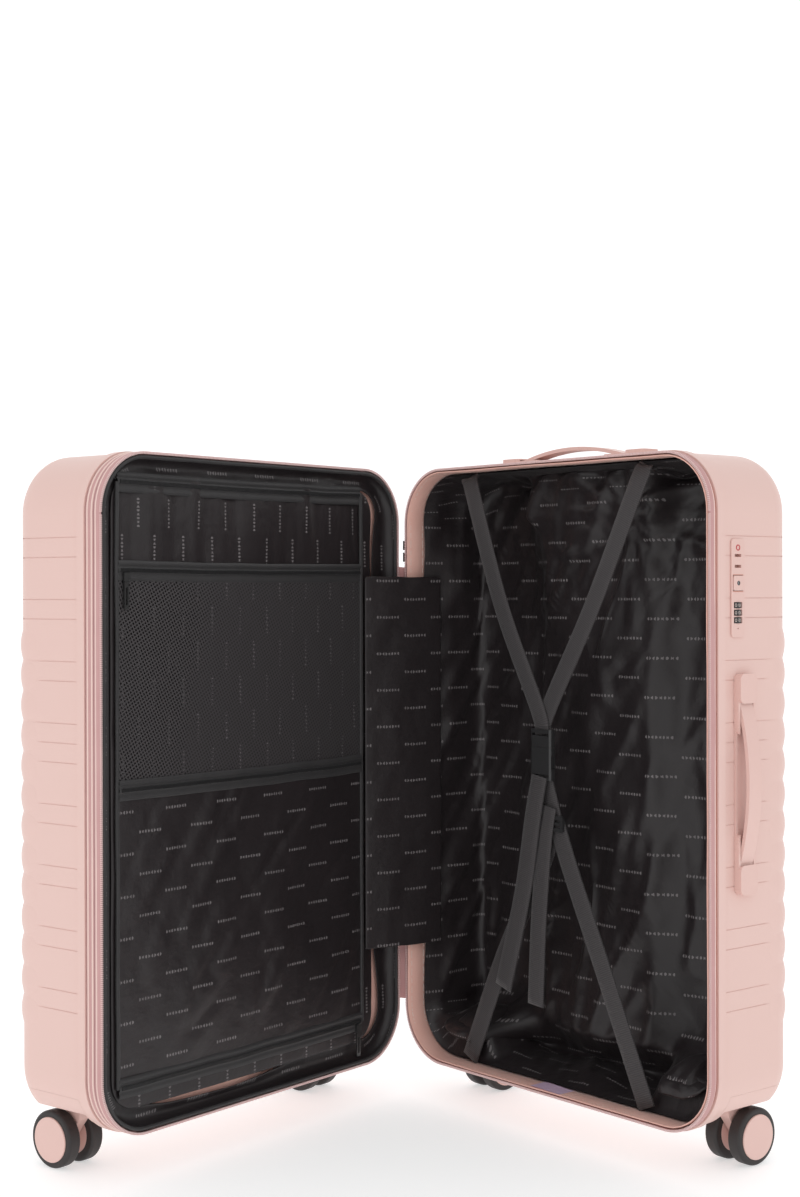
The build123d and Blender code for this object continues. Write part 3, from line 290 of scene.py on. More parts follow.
def make_materials():
    MATS["shell"] = moulded("pink_polypropylene", PINK, PINK_DARK, 0.42)
    MATS["pink_trim"] = moulded("pink_trim_plastic", (0.78, 0.535, 0.485), (0.75, 0.505, 0.455), 0.38, 0.08)
    MATS["rim_pink"] = moulded("pink_inner_edge", (0.86, 0.66, 0.60), (0.83, 0.62, 0.56), 0.45)
    MATS["zip_tape"] = woven("pink_zip_tape", (0.55, 0.30, 0.295), (0.68, 0.42, 0.41), 0.0011)
    # Painted shade: a dark rust colour that stands in for the shadow in narrow gaps and grooves, not a real tape
    MATS["gap"] = woven("painted_gap_shade", (0.50, 0.16, 0.10), (0.58, 0.22, 0.14), 0.001)
    MATS["coil"] = moulded("pink_zip_coil", (0.80, 0.60, 0.58), (0.74, 0.54, 0.52), 0.4, 0.02)
    MATS["binding"] = woven("cream_binding", (0.82, 0.46, 0.385), (0.92, 0.61, 0.53), 0.0012, 0.4)
    MATS["lilac"] = woven("lilac_patch", (0.62, 0.42, 0.60), (0.78, 0.60, 0.76), 0.0012, 0.4)
    MATS["stitch"] = woven("cream_thread", (0.85, 0.72, 0.66), (0.92, 0.82, 0.77), 0.0006, 0.3)
    MATS["lining"] = printed_satin("black_printed_satin")
    MATS["lining_upright"] = printed_satin("black_printed_satin_upright", turn=pi / 2)
    MATS["plain_black"] = woven("black_tape", (0.018, 0.017, 0.018), (0.05, 0.047, 0.048), 0.0012, 0.3, 0.6)
    MATS["net"] = net("black_net")
    MATS["webbing"] = ribbed("grey_webbing", (0.022, 0.019, 0.02), (0.062, 0.055, 0.057), 0.0022)
    MATS["black_plastic"] = moulded("black_acetal", (0.028, 0.027, 0.028), (0.02, 0.02, 0.021), 0.34, 0.06)
    MATS["zip_metal"] = moulded("black_lacquer", (0.03, 0.029, 0.03), (0.02, 0.02, 0.02), 0.3, 0.02)
    MATS["tyre"] = moulded("black_rubber", (0.03, 0.026, 0.026), (0.02, 0.017, 0.017), 0.62, 0.3)
    MATS["aluminium"] = moulded("anodised_aluminium", (0.72, 0.72, 0.73), (0.66, 0.66, 0.67), 0.3, 0.03)
    MATS["steel"] = moulded("ground_steel", (0.55, 0.55, 0.56), (0.45, 0.45, 0.46), 0.3, 0.05)
    MATS["red"] = moulded("red_enamel", (0.62, 0.05, 0.06), (0.5, 0.03, 0.04), 0.3, 0.02)
    for name in ("aluminium", "steel"):
        MATS[name].node_tree.nodes["Principled BSDF"].inputs["Metallic"].default_value = 1.0


# ---------------------------------------------------------------- mesh building
def piece(name, verts, faces, body, mat, uv=None, replaces=(), smooth=True):
    """A new object from points in metres, with its UV in metres, riding on a body."""
    mesh = bpy.data.meshes.new(name)
    mesh.from_pydata([tuple(v) for v in verts], [], [tuple(f) for f in faces])
    mesh.validate()
    if uv is not None:
        layer = mesh.uv_layers.new(name="flat")
        loops = np.zeros(len(mesh.loops), np.int32)
        mesh.loops.foreach_get("vertex_index", loops)
        layer.data.foreach_set("uv", np.asarray(uv, float)[loops].ravel())
    mesh.polygons.foreach_set("use_smooth", [smooth] * len(mesh.polygons))
    made = bpy.data.objects.new(name, mesh)
    bpy.context.scene.collection.objects.link(made)
    made.data.materials.append(MATS[mat])
    if body:
        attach(made, body)
    if replaces:
        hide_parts(*replaces)
    return made


def grid_faces(rows, columns, close_rows=False, close_columns=False):
    """Quads of a grid stored row by row."""
    faces = []
    for i in range(rows if close_rows else rows - 1):
        for k in range(columns if close_columns else columns - 1):
            a, b = i * columns + k, i * columns + (k + 1) % columns
            j = (i + 1) % rows
            c, d = j * columns + (k + 1) % columns, j * columns + k
            faces.append((a, b, c, d))
    return faces


def rim_points(step=6.0, corner_steps=12):
    """Round the rim: (x, z, outward x, outward z, length so far), for no inset."""
    points = []
    half_w, half_h = WIDTH / 2 - CORNER_R, (TOP - BOTTOM) / 2 - CORNER_R
    corners = [(half_w, half_h, 0), (-half_w, half_h, 1), (-half_w, -half_h, 2), (half_w, -half_h, 3)]
    for n, (cx, cz, quarter) in enumerate(corners):
        for k in range(corner_steps + 1):
            a = (quarter + k / corner_steps) * pi / 2
            points.append((MID_X + cx + CORNER_R * cos(a), MID_Z + cz + CORNER_R * sin(a), cos(a), sin(a)))
        nx, nz, _ = corners[(n + 1) % 4]
        a = (quarter + 1) * pi / 2
        start = (MID_X + cx + CORNER_R * cos(a), MID_Z + cz + CORNER_R * sin(a))
        end = (MID_X + nx + CORNER_R * cos(a), MID_Z + nz + CORNER_R * sin(a))
        span = hypot(end[0] - start[0], end[1] - start[1])
        count = ceil(span / step)
        for k in range(1, count):
            t = k / count
            points.append((start[0] + (end[0] - start[0]) * t, start[1] + (end[1] - start[1]) * t, cos(a), sin(a)))
    length, result = 0.0, []
    for n, p in enumerate(points):
        if n:
            length += hypot(p[0] - points[n - 1][0], p[1] - points[n - 1][1])
        result.append((*p, length))
    return result


def rim_band(name, side, profile, body, mat, replaces=(), wobble=0.0, closed=True, step=8.0):
    """A band swept round the rim. The profile lists (inset, depth) in mm."""
    ring = rim_points(step)
    verts, uv = [], []
    travel = [0.0]
    for a, b in zip(profile, profile[1:]):
        travel.append(travel[-1] + hypot(b[0] - a[0], b[1] - a[1]))
    for x, z, nx, nz, length in ring:
        sway = noise.noise(Vector((x * 0.012, z * 0.012, len(name)))) * wobble
        for (inset, depth), v in zip(profile, travel):
            verts.append(at(side, x - nx * (inset + sway), depth, z - nz * (inset + sway)))
            uv.append((length * MM, v * MM))
    faces = grid_faces(len(ring), len(profile), close_rows=True, close_columns=closed)
    return piece(name, verts, faces, body, mat, uv, replaces)


def rounded_profile(inset, thick, start, end, r=0.5):
    """A flat band's section with eased corners, as (inset, depth) points."""
    a, b, c, d = inset, inset + thick, start, end
    return [(a + r, c), (b - r, c), (b, c + r), (b, d - r), (b - r, d), (a + r, d), (a, d - r), (a, c + r)]


def rim_coil(name, side, inset, depth, body, mat, pitch=2.0, size=(2.6, 1.2)):
    """Zip teeth round the rim: one small rounded block for each tooth."""
    ring = rim_points(3.0, 40)
    total = ring[-1][4]
    lengths = np.array([p[4] for p in ring])
    spots = np.arange(0, total, pitch)
    verts, faces = [], []
    long_half, thick = size
    for s in spots:
        k = min(int(np.searchsorted(lengths, s)), len(ring) - 1)
        x, z, nx, nz, _ = ring[k]
        tx, tz = -nz, nx
        off = s - lengths[k]
        base = len(verts)
        for dd, half in ((-thick, 0.55), (thick, 0.55)):
            for di, dt in ((-1, -1), (1, -1), (1, 1), (-1, 1)):
                px = x + tx * (off + dt * half) - nx * (inset + di * long_half / 2)
                pz = z + tz * (off + dt * half) - nz * (inset + di * long_half / 2)
                verts.append(at(side, px, depth + dd / 2, pz))
        faces += [tuple(base + q for q in f) for f in
                  ((0, 1, 2, 3), (7, 6, 5, 4), (0, 4, 5, 1), (1, 5, 6, 2), (2, 6, 7, 3), (3, 7, 4, 0))]
    return piece(name, verts, faces, body, mat, uv=[(0, 0)] * len(verts), smooth=False)


def ribbon(name, points, width, thick, body, mat, replaces=(), across=None, segments=None):
    """A flat strap through a list of points, with eased edges; across gives its width's direction."""
    count = segments or len(points)
    curve = smooth_path(points, count)
    verts, uv, travel = [], [], 0.0
    section = [(-0.5, -0.5), (-0.46, 0.5), (-0.15, 0.62), (0.15, 0.62),
               (0.46, 0.5), (0.5, -0.5), (0.15, -0.6), (-0.15, -0.6)]
    for n, p in enumerate(curve):
        ahead = curve[min(n + 1, len(curve) - 1)] - curve[max(n - 1, 0)]
        ahead.normalize()
        if n:
            travel += (p - curve[n - 1]).length
        wide = across if across is not None else ahead.cross(Vector((0, 1, 0)))
        wide = (wide - ahead * wide.dot(ahead)).normalized()
        out = ahead.cross(wide)
        w = width[0] + (width[1] - width[0]) * n / (len(curve) - 1) if isinstance(width, tuple) else width
        for u, v in section:
            verts.append(p + wide * (u * w * MM) + out * (v * thick * MM))
            uv.append((travel, u * w * MM))
    rows, columns = len(curve), len(section)
    faces = grid_faces(rows, columns, close_columns=True)
    faces.append(tuple(range(columns))[::-1])
    faces.append(tuple(range((rows - 1) * columns, rows * columns)))
    return piece(name, verts, faces, body, mat, uv, replaces)


def smooth_path(points, count):
    """Evenly spaced points of a Catmull-Rom curve through the given ones."""
    pts = [Vector(p) for p in points]
    pts = [pts[0] * 2 - pts[1]] + pts + [pts[-1] * 2 - pts[-2]]
    spans = len(pts) - 3
    result = []
    for k in range(count):
        t = k / (count - 1) * spans
        n = min(int(t), spans - 1)
        f = t - n
        a, b, c, d = pts[n:n + 4]
        result.append(0.5 * (2 * b + (c - a) * f + (2 * a - 5 * b + 4 * c - d) * f * f
                             + (3 * b - a - 3 * c + d) * f ** 3))
    return result


# ---------------------------------------------------------------- linings
def box_distance(p, box):
    """Signed distance in mm from points to a box: (low corner, high corner, rounding)."""
    low, high, radius = np.array(box[0]), np.array(box[1]), box[2]
    centre, half = (low + high) / 2, (high - low) / 2 - radius
    q = np.abs(p - centre) - half
    outside = np.linalg.norm(np.maximum(q, 0), axis=1)
    return outside + np.minimum(q.max(axis=1), 0) - radius


def clearance(p, inward, boxes, margin):
    """How far in mm each lining point has to move inwards to lie clear of everything behind it."""
    shift = np.zeros(len(p))
    for _ in range(60):
        here = p + inward * shift[:, None]
        near = np.min([box_distance(here, box) for box in boxes], axis=0)
        shift += np.clip(margin - near, 0, 6)
    return shift


def stretch(shift, rows, columns, passes, first, last):
    """Spans the cloth like a skin from high point to high point, never below what it lies on."""
    least = shift.reshape(rows, columns)
    q = least.copy()
    for _ in range(passes):
        across = q.copy()
        across[:, 1:-1] = (q[:, :-2] + q[:, 2:]) / 2
        mean = ((np.roll(q, 1, 0) + np.roll(q, -1, 0)) / 2 + across) / 2
        q[:, first:last] = np.maximum(mean, least)[:, first:last]
    return q.ravel()


def folds(x, z, seed, lean=0.35):
    """Soft creases in mm: long folds that lean a little, with finer ones over them."""
    a = noise.noise(Vector((x * 0.011 + z * 0.011 * lean, z * 0.0035, seed)))
    b = noise.noise(Vector((x * 0.03 - z * 0.012, z * 0.009 + x * 0.008, seed + 7)))
    c = noise.noise(Vector((x * 0.075, z * 0.06, seed + 13)))
    ridge = 1 - abs(noise.noise(Vector((x * 0.014 - z * 0.006, z * 0.007, seed + 21)))) * 3
    return 2.2 * a + 1.5 * b + 0.5 * c + 1.6 * max(ridge, 0) ** 2


def drapes(x, z, seed, lean=0.6):
    """Long soft diagonal folds in mm, with sharp crests and wide valleys."""
    along = (x + z * lean) / hypot(1, lean)
    across = (z - x * lean) / hypot(1, lean)
    wave = noise.noise(Vector((along * 0.017, across * 0.0045, seed)))
    crest = max(0.0, 1 - abs(noise.noise(Vector((along * 0.021, across * 0.005, seed + 4)))) * 5)
    return 4.2 * wave + 2.6 * crest ** 2 + 1.1 * noise.noise(Vector((along * 0.05, across * 0.012, seed + 9)))


def bunching(x, z, seed):
    """Wrinkles in mm that fan out under the grip well, where spare cloth is gathered."""
    dx, dz = x - (MID_X + 60), z - (TOP - 60)
    reach, angle = hypot(dx, dz), atan2(dz, dx)
    near = max(0.0, 1 - reach / 230) ** 1.3
    fan = (noise.noise(Vector((angle * 3.2, reach * 0.008, seed + 40)))
           + 0.5 * noise.noise(Vector((angle * 8, reach * 0.02, seed + 50))))
    hem = 7.0 * max(0.0, 1 - abs(z - (TOP - 92 - 10 * cos(x * 0.03))) / 13) ** 2 * (1 if abs(dx) < 120 else 0.3)
    return near * 13.0 * fan + hem


def lining(name, side, start, depth, boxes, body, replaces, seed):
    """A cloth tub from near the rim to the big face, draped over what stands behind it."""
    ring = rim_points(7.0, 14)
    wall = list(np.arange(start, depth - 16, 7.0))
    turn = [(depth - 16 + 16 * sin(a), 14 - 14 * cos(a)) for a in np.linspace(0, pi / 2, 5)]
    shrink = np.linspace(0, 1, 36)[1:]
    rows, columns = len(ring), len(wall) + len(turn) + len(shrink)
    points, inward, uv = [], [], []
    for x, z, nx, nz, _ in ring:
        inset = 8.2
        for d in wall:
            lean = (d - start) * 0.05
            points.append((x - nx * (inset + lean), d, z - nz * (inset + lean)))
            inward.append((-nx, 0, -nz))
            uv.append(((x + nx * (depth - d)) * MM, (z + nz * (depth - d)) * MM))
        inset += (depth - 16 - start) * 0.05
        for n, (d, grow) in enumerate(turn):
            points.append((x - nx * (inset + grow), d, z - nz * (inset + grow)))
            t = n / (len(turn) - 1)
            v = Vector((-nx * (1 - t), -t, -nz * (1 - t))).normalized()
            inward.append(tuple(v))
            uv.append(((x - nx * grow + nx * (depth - d)) * MM, (z - nz * grow + nz * (depth - d)) * MM))
        edge_x, edge_z = x - nx * (inset + 14), z - nz * (inset + 14)
        spine_z = min(max(edge_z, MID_Z - 120), MID_Z + 120)
        for t in shrink:
            px, pz = edge_x + (MID_X - edge_x) * t, edge_z + (spine_z - edge_z) * t
            points.append((px, depth, pz))
            inward.append((0, -1, 0))
            uv.append((px * MM, pz * MM))
    p, inward = np.array(points, float), np.array(inward, float)
    face = len(wall) + len(turn) - 1
    if side == "back":
        under_well = (np.abs(p[:, 0] - MID_X) < 112) & (p[:, 2] > TOP - 80)
        inward[under_well] = (0, -1, 0)
    shift = clearance(p, inward, boxes, 3.5)
    shift = stretch(shift, rows, columns, 5, 2, face)
    shift = stretch(shift, rows, columns, 22, face, columns)
    creases = np.array([folds(a[0] + a[1] * 0.7, a[2] + a[1] * 0.4, seed)
                        + drapes(a[0] + a[1] * 0.7, a[2], seed + 60, -0.35) for a in p])
    across = np.array([bunching(a[0], a[2], seed) for a in p]) if side == "back" else np.zeros(len(p))
    fade = np.tile(np.clip(np.arange(columns) / 5, 0, 1), rows)
    shift += (creases * 1.9 + across + 3.5) * fade
    shift = np.maximum(shift, clearance(p, inward, boxes, 2.5))
    last = {}
    for n in range(columns - 1, len(p), columns):
        last.setdefault((round(p[n, 0], 1), round(p[n, 2], 1)), []).append(n)
    for group in last.values():
        shift[group] = shift[group].max()
    p += inward * shift[:, None]
    for n in range(rows):
        sag = noise.noise(Vector((n * 0.09, seed, 3)))
        p[n * columns:n * columns + 4, 1] += np.array([3.0, 2.2, 1.2, 0.4]) * sag
    verts = [at(side, *q) for q in p]
    faces = grid_faces(rows, columns, close_rows=True)
    made = piece(name, verts, faces, body, "lining", uv, replaces)
    weld(made)
    subdivide(made, 1)
    return made


def weld(made, gap=0.00005):
    """Joins points that lie on each other, such as those along a lining's middle line."""
    mesh = bmesh.new()
    mesh.from_mesh(made.data)
    bmesh.ops.remove_doubles(mesh, verts=mesh.verts, dist=gap)
    mesh.to_mesh(made.data)
    mesh.free()


def subdivide(made, levels):
    modifier = made.modifiers.new("smooth", "SUBSURF")
    modifier.levels = modifier.render_levels = levels


def cloth_panel(name, low_x, high_x, low_z, high_z, depth_at, mat, radius=0.0, step=6.0, body="lid", side="lid",
                replaces=(), thick=0.8, subdiv=1):
    """A flat cloth piece facing the rim, whose depth at (x, z) is given by a function."""
    nx, nz = ceil((high_x - low_x) / step), ceil((high_z - low_z) / step)
    verts, uv = [], []
    for i in range(nz + 1):
        for k in range(nx + 1):
            x, z = low_x + (high_x - low_x) * k / nx, low_z + (high_z - low_z) * i / nz
            cx = min(max(x, low_x + radius), high_x - radius)
            cz = min(max(z, low_z + radius), high_z - radius)
            dx, dz = x - cx, z - cz
            if radius and dx and dz:
                reach = max(abs(dx), abs(dz)) / hypot(dx, dz)
                x, z = cx + dx * reach, cz + dz * reach
            verts.append(at(side, x, depth_at(x, z), z))
            uv.append((x * MM, z * MM))
    made = piece(name, verts, grid_faces(nz + 1, nx + 1), body, mat, uv, replaces)
    if thick:
        solid = made.modifiers.new("cloth", "SOLIDIFY")
        solid.thickness, solid.offset = thick * MM, 0
    if subdiv:
        subdivide(made, subdiv)
    return made


# ---------------------------------------------------------------- the back half
def back_boxes():
    """What stands inside the back half, in mm: (low corner, high corner, rounding)."""
    far = BACK_DEPTH + 60
    tubes = ((MID_X - 87, 90, 96), (MID_X + 87, far, TOP), 9)
    cup = ((MID_X - 97, 77, TOP - 66), (MID_X + 97, far, TOP + 40), 7)
    lock = ((WIDTH - 17, 33, 553), (WIDTH + 40, 53, 653), 5)
    return [tubes, cup, lock, *caster_boxes(BACK_DEPTH)]


def caster_boxes(depth):
    """The two wheel wells at the bottom corners of a half."""
    low_depth = depth - 42 - 54.5
    return [((-40, low_depth, BOTTOM - 40), (103, depth + 40, 88.5), 4),
            ((WIDTH - 103, low_depth, BOTTOM - 40), (WIDTH + 40, depth + 40, 88.5), 4)]


def stitched_ring(name, side, inset, depth, body, pitch=4.2, size=(1.5, 0.45)):
    """A row of stitches round the rim, standing on a band's inner face."""
    ring = rim_points(3.0, 40)
    lengths = np.array([p[4] for p in ring])
    verts, faces = [], []
    for s in np.arange(0, ring[-1][4], pitch):
        k = min(int(np.searchsorted(lengths, s)), len(ring) - 1)
        x, z, nx, nz, _ = ring[k]
        tx, tz = -nz, nx
        base = len(verts)
        for u, lift, w in ((-1, 0, 0.5), (-1, 0, -0.5), (-0.4, 0.5, -0.5), (-0.4, 0.5, 0.5),
                           (0.4, 0.5, 0.5), (0.4, 0.5, -0.5), (1, 0, -0.5), (1, 0, 0.5)):
            along, up = u * size[0], lift * size[1]
            px, pz = x + tx * along - nx * (inset + up), z + tz * along - nz * (inset + up)
            verts.append(at(side, px, depth + w * 0.7, pz))
        faces += [tuple(base + q for q in f) for f in ((0, 1, 2, 3), (3, 2, 5, 4), (4, 5, 6, 7))]
    return piece(name, verts, faces, body, "stitch", uv=[(0, 0)] * len(verts))


def make_back_half():
    lining("back_lining_cloth", "back", 25.0, 115.0, back_boxes(), "back", ("back_lining",), 3.0)
    rim_band("back_binding_tape", "back", rounded_profile(5.0, 1.3, 1.0, 27.0, 0.4), "back", "binding",
             ("back_binding",), wobble=0.9)
    for k, depth in enumerate((6.5, 24.5)):
        stitched_ring(f"back_binding_stitches_{k}", "back", 6.3, depth, "back")
    rim_band("back_zip_tape_cloth", "back", rounded_profile(1.6, 1.2, 1.0, 10.6, 0.3), "back", "zip_tape",
             ("back_zip_tape",), wobble=0.35)
    rim_coil("back_zip_teeth", "back", 2.2, 1.4, "back", "coil")
    cord = [(2.4 + 1.0 * cos(a), 9.0 + 1.0 * sin(a)) for a in np.linspace(0, 2 * pi, 8, False)]
    rim_band("back_zip_cord", "back", cord, "back", "rim_pink")
    patch = [at("back", x, d, BOTTOM + 6.9 + 0.4 * sin(x)) for x in np.linspace(216, 262, 9) for d in (2.0, 25.5)]
    piece("back_binding_patch", patch, grid_faces(9, 2), "back", "lilac", uv=[(p.x, p.y) for p in patch])
    # A strip of painted shade: it fills the gap beside the zip tape with the shadow's dark rust colour
    rim_band("back_gap_shadow", "back", rounded_profile(2.6, 1.0, 9.8, 13.4, 0.2), "back", "gap")


def strap_point(x, depth, z):
    return at("back", x, depth, z)


STRAP_WIDTH, STRAP_THICK = 25, 1.3


def make_straps():
    """The crossed packing straps, with their buckle in the middle."""
    across = Vector((1, 0, 0))
    plug_low, plug_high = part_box("buckle_plug")
    top_z = plug_high.z / MM - 5
    buckle_x = ((plug_low.x + plug_high.x) / 2 - ORIGIN_X) / MM
    for name, x, sway, turn in (("left", 94, -3, 1), ("right", 372, 3, -1)):
        mid = ((x + buckle_x) / 2 + sway, (727 + top_z) / 2)
        path = [strap_point(x, 24, 733), strap_point(x + (buckle_x - x) * 0.06, 20, 715),
                strap_point(mid[0], 15.5, mid[1]),
                strap_point(buckle_x - turn * 7, 16.6 - turn * 1.2, top_z + 26),
                strap_point(buckle_x - turn * 1.0, 17.2 - turn * 0.8, top_z - 1)]
        made = ribbon(f"upper_strap_{name}", path, (STRAP_WIDTH, 22), STRAP_THICK, None, "webbing",
                      across=across, segments=40)
        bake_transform(made)
        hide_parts("upper_straps")
    ax, az = 240, 344
    webs = [
        ("lower_strap_centre", [(buckle_x, 17.6, 396), (buckle_x + 8, 17.9, 372), (ax - 1, 18, az)], STRAP_WIDTH),
        ("lower_strap_right", [(ax + 1, 17.4, az + 4), (ax + 24, 17.6, az - 50), (314, 17.8, 190), (372, 22, 56)],
         STRAP_WIDTH),
        ("lower_strap_left", [(ax - 2, 20.4, az + 2), (ax - 26, 20.6, az - 52), (150, 21.5, 180), (92, 23, 56)],
         STRAP_WIDTH),
    ]
    for name, path, width in webs:
        ribbon(name, [strap_point(x, d, z) for x, d, z in path], width, STRAP_THICK, "back", "webbing",
               ("lower_straps",), across, 36)
    tails = [
        ("strap_tail_long", [(buckle_x - 1, 12, 395), (buckle_x - 8, 8.5, 350), (196, 9.5, 262), (161, 12, 151)],
         (STRAP_WIDTH, 26)),
        ("strap_tail_short", [(ax - 6, 13.4, 362), (ax - 12, 11.6, 320), (220, 11, 230), (213, 13, 139)], (24, 25)),
    ]
    for name, path, width in tails:
        ribbon(name, [strap_point(x, d, z) for x, d, z in path], width, STRAP_THICK, "back", "webbing",
               ("strap_tails",), across, 40)


# ---------------------------------------------------------------- the lid
PANEL = (44.0, 458.0, 72.0, 722.0)
POCKET_X = (66.0, 450.0)
TOP_ZIP, MESH_ZIP, LOWER_BAND, BOTTOM_ZIP = 712.0, 622.0, 399.0, 97.0


def zip_strip(name, z, low_x, high_x, depth, body="lid", height=21.0, sag=1.2):
    """A straight pocket zip: flap edge, coil and tape as raised ridges, with its teeth."""
    profile = [(-0.5, 0.0), (-0.48, 0.9), (-0.3, 1.3), (-0.24, 0.5), (-0.12, 0.45), (-0.08, 1.5), (0.02, 1.9),
               (0.12, 1.5), (0.16, 0.5), (0.24, 0.45), (0.28, 1.7), (0.4, 2.2), (0.5, 0.0)]
    count = ceil((high_x - low_x) / 6)
    verts, uv = [], []
    for n in range(count + 1):
        t = n / count
        x = low_x + (high_x - low_x) * t
        dip = -sag * sin(pi * t) + 0.9 * noise.noise(Vector((x * 0.02, z, 3)))
        for v, lift in profile:
            verts.append(at("lid", x, depth - lift, z + v * height + dip))
            uv.append((x * MM, v * height * MM))
    made = piece(name, verts, grid_faces(count + 1, len(profile)), body, "plain_black", uv)
    subdivide(made, 1)
    teeth, tooth_faces = [], []
    for x in np.arange(low_x + 3, high_x - 3, 1.7):
        t = (x - low_x) / (high_x - low_x)
        dip = -sag * sin(pi * t) + 0.9 * noise.noise(Vector((x * 0.02, z, 3)))
        base = len(teeth)
        mid = z + 0.02 * height + dip
        for lift, half in ((1.7, 0.55), (2.9, 0.3)):
            for dx, dz in ((-half, -2.1), (half, -2.1), (half, 2.1), (-half, 2.1)):
                teeth.append(at("lid", x + dx, depth - lift, mid + dz * (1 if half > 0.4 else 0.8)))
        tooth_faces += [tuple(base + q for q in f) for f in
                        ((4, 5, 6, 7), (0, 1, 5, 4), (1, 2, 6, 5), (2, 3, 7, 6), (3, 0, 4, 7))]
    piece(name + "_teeth", teeth, tooth_faces, body, "black_plastic", uv=[(0, 0)] * len(teeth),
          smooth=False)
    return made


def gathers(x, z, seam_z, reach, seed):
    """Upright puckers in mm that hang from a seam and die away below it."""
    fall = max(0.0, 1 - abs(seam_z - z) / reach)
    wave = (noise.noise(Vector((x * 0.034, z * 0.004, seed)))
            + 0.6 * noise.noise(Vector((x * 0.085, z * 0.008, seed + 3))))
    return 2.6 * wave * fall ** 0.7


def panel_depth(x, z):
    pillow = sin(pi * min(max((x - PANEL[0]) / (PANEL[1] - PANEL[0]), 0), 1))
    return 10.0 - 0.8 * pillow + 0.35 * folds(x, z, 5.0) + 1.5 * gathers(x, z, TOP_ZIP - 8, 125, 41.0)


def lower_pocket_depth(x, z):
    u = (x - POCKET_X[0]) / (POCKET_X[1] - POCKET_X[0])
    v = (z - BOTTOM_ZIP) / (LOWER_BAND - BOTTOM_ZIP)
    pillow = (sin(pi * min(max(u, 0), 1)) * sin(pi * min(max(v, 0), 1))) ** 0.5
    puckers = ((0.5 * folds(x, z, 11.0) + 1.5 * drapes(x, z, 71.0)) * (0.15 + pillow)
               + 0.6 * gathers(x, z, LOWER_BAND, 90, 43.0))
    return min(8.6 - 3.5 * pillow + puckers, panel_depth(x, z) - 1.6)


def mesh_depth(x, z):
    u = (x - POCKET_X[0]) / (POCKET_X[1] - POCKET_X[0])
    v = (z - LOWER_BAND) / (MESH_ZIP - LOWER_BAND)
    return 7.2 - 1.8 * sin(pi * min(max(u, 0), 1)) * sin(pi * min(max(v, 0), 1)) + 0.2 * folds(x, z, 17.0)


def upright_piping(name, x, low_z, high_z, depth):
    section = [(0.5 * 5.0 * cos(a), 0.5 * 3.2 * sin(a)) for a in np.linspace(0, 2 * pi, 10, False)]
    count = ceil((high_z - low_z) / 8)
    verts, uv = [], []
    for n in range(count + 1):
        z = low_z + (high_z - low_z) * n / count
        sway = 1.1 * noise.noise(Vector((x, z * 0.012, 2)))
        for k, (dx, dd) in enumerate(section):
            verts.append(at("lid", x + dx + sway, depth + dd, z))
            uv.append((z * MM, k * 0.0015))
    faces = grid_faces(count + 1, len(section), close_columns=True)
    return piece(name, verts, faces, "lid", "plain_black", uv)


def gusset_edge(x, z):
    """How far in from the rim the gusset's inner edge lies; it pulls away from the divider in places."""
    to_hinge, to_top, to_bottom, to_lock = x, TOP - z, z - BOTTOM, WIDTH - x
    nearest = min(to_hinge, to_top, to_bottom, to_lock)
    if nearest == to_hinge:
        top_gap = 11 * min(max((z - 630) / 85, 0), 1) ** 1.6
        low_gap = 10 * min(max((190 - z) / 60, 0), 1)
        return 41 - 1.5 - top_gap - low_gap
    if nearest == to_bottom:
        sliver = 9 * max(0, sin(pi * min(max((x - 190) / 220, 0), 1))) ** 0.6
        return 29 - sliver + 0.8 * noise.noise(Vector((x * 0.02, 0, 4)))
    if nearest == to_top:
        return 26.0
    return 25.0


def make_gusset():
    """The black cloth between the lid's rim and its divider."""
    ring = rim_points(6.0, 16)
    edges = np.array([gusset_edge(x, z) for x, z, *_ in ring])
    for _ in range(6):
        edges = (np.roll(edges, 1) + 2 * edges + np.roll(edges, -1)) / 4
    section = [(0.0, 1.0), (0.01, 5.0), (0.06, 9.5), (0.2, 13.5), (0.4, 15.4), (0.6, 15.0), (0.8, 13.4),
               (0.94, 12.0), (1.0, 12.6)]
    verts, uv = [], []
    for (x, z, nx, nz, length), edge in zip(ring, edges):
        for t, depth in section:
            inset = 5.6 + (edge - 5.6) * t
            crease = (1.6 * noise.noise(Vector((length * 0.02, t * 2.5, 8)))
                      + 0.8 * noise.noise(Vector((length * 0.07, t * 5, 9))))
            verts.append(at("lid", x - nx * inset, depth + crease * sin(pi * min(t + 0.1, 1)), z - nz * inset))
            uv.append((length * MM, (inset + depth) * MM))
    faces = grid_faces(len(ring), len(section), close_rows=True)
    made = piece("lid_gusset_cloth", verts, faces, "lid", "lining", uv, ("lid_gusset",))
    solid = made.modifiers.new("cloth", "SOLIDIFY")
    solid.thickness, solid.offset = 0.8 * MM, 0
    subdivide(made, 1)


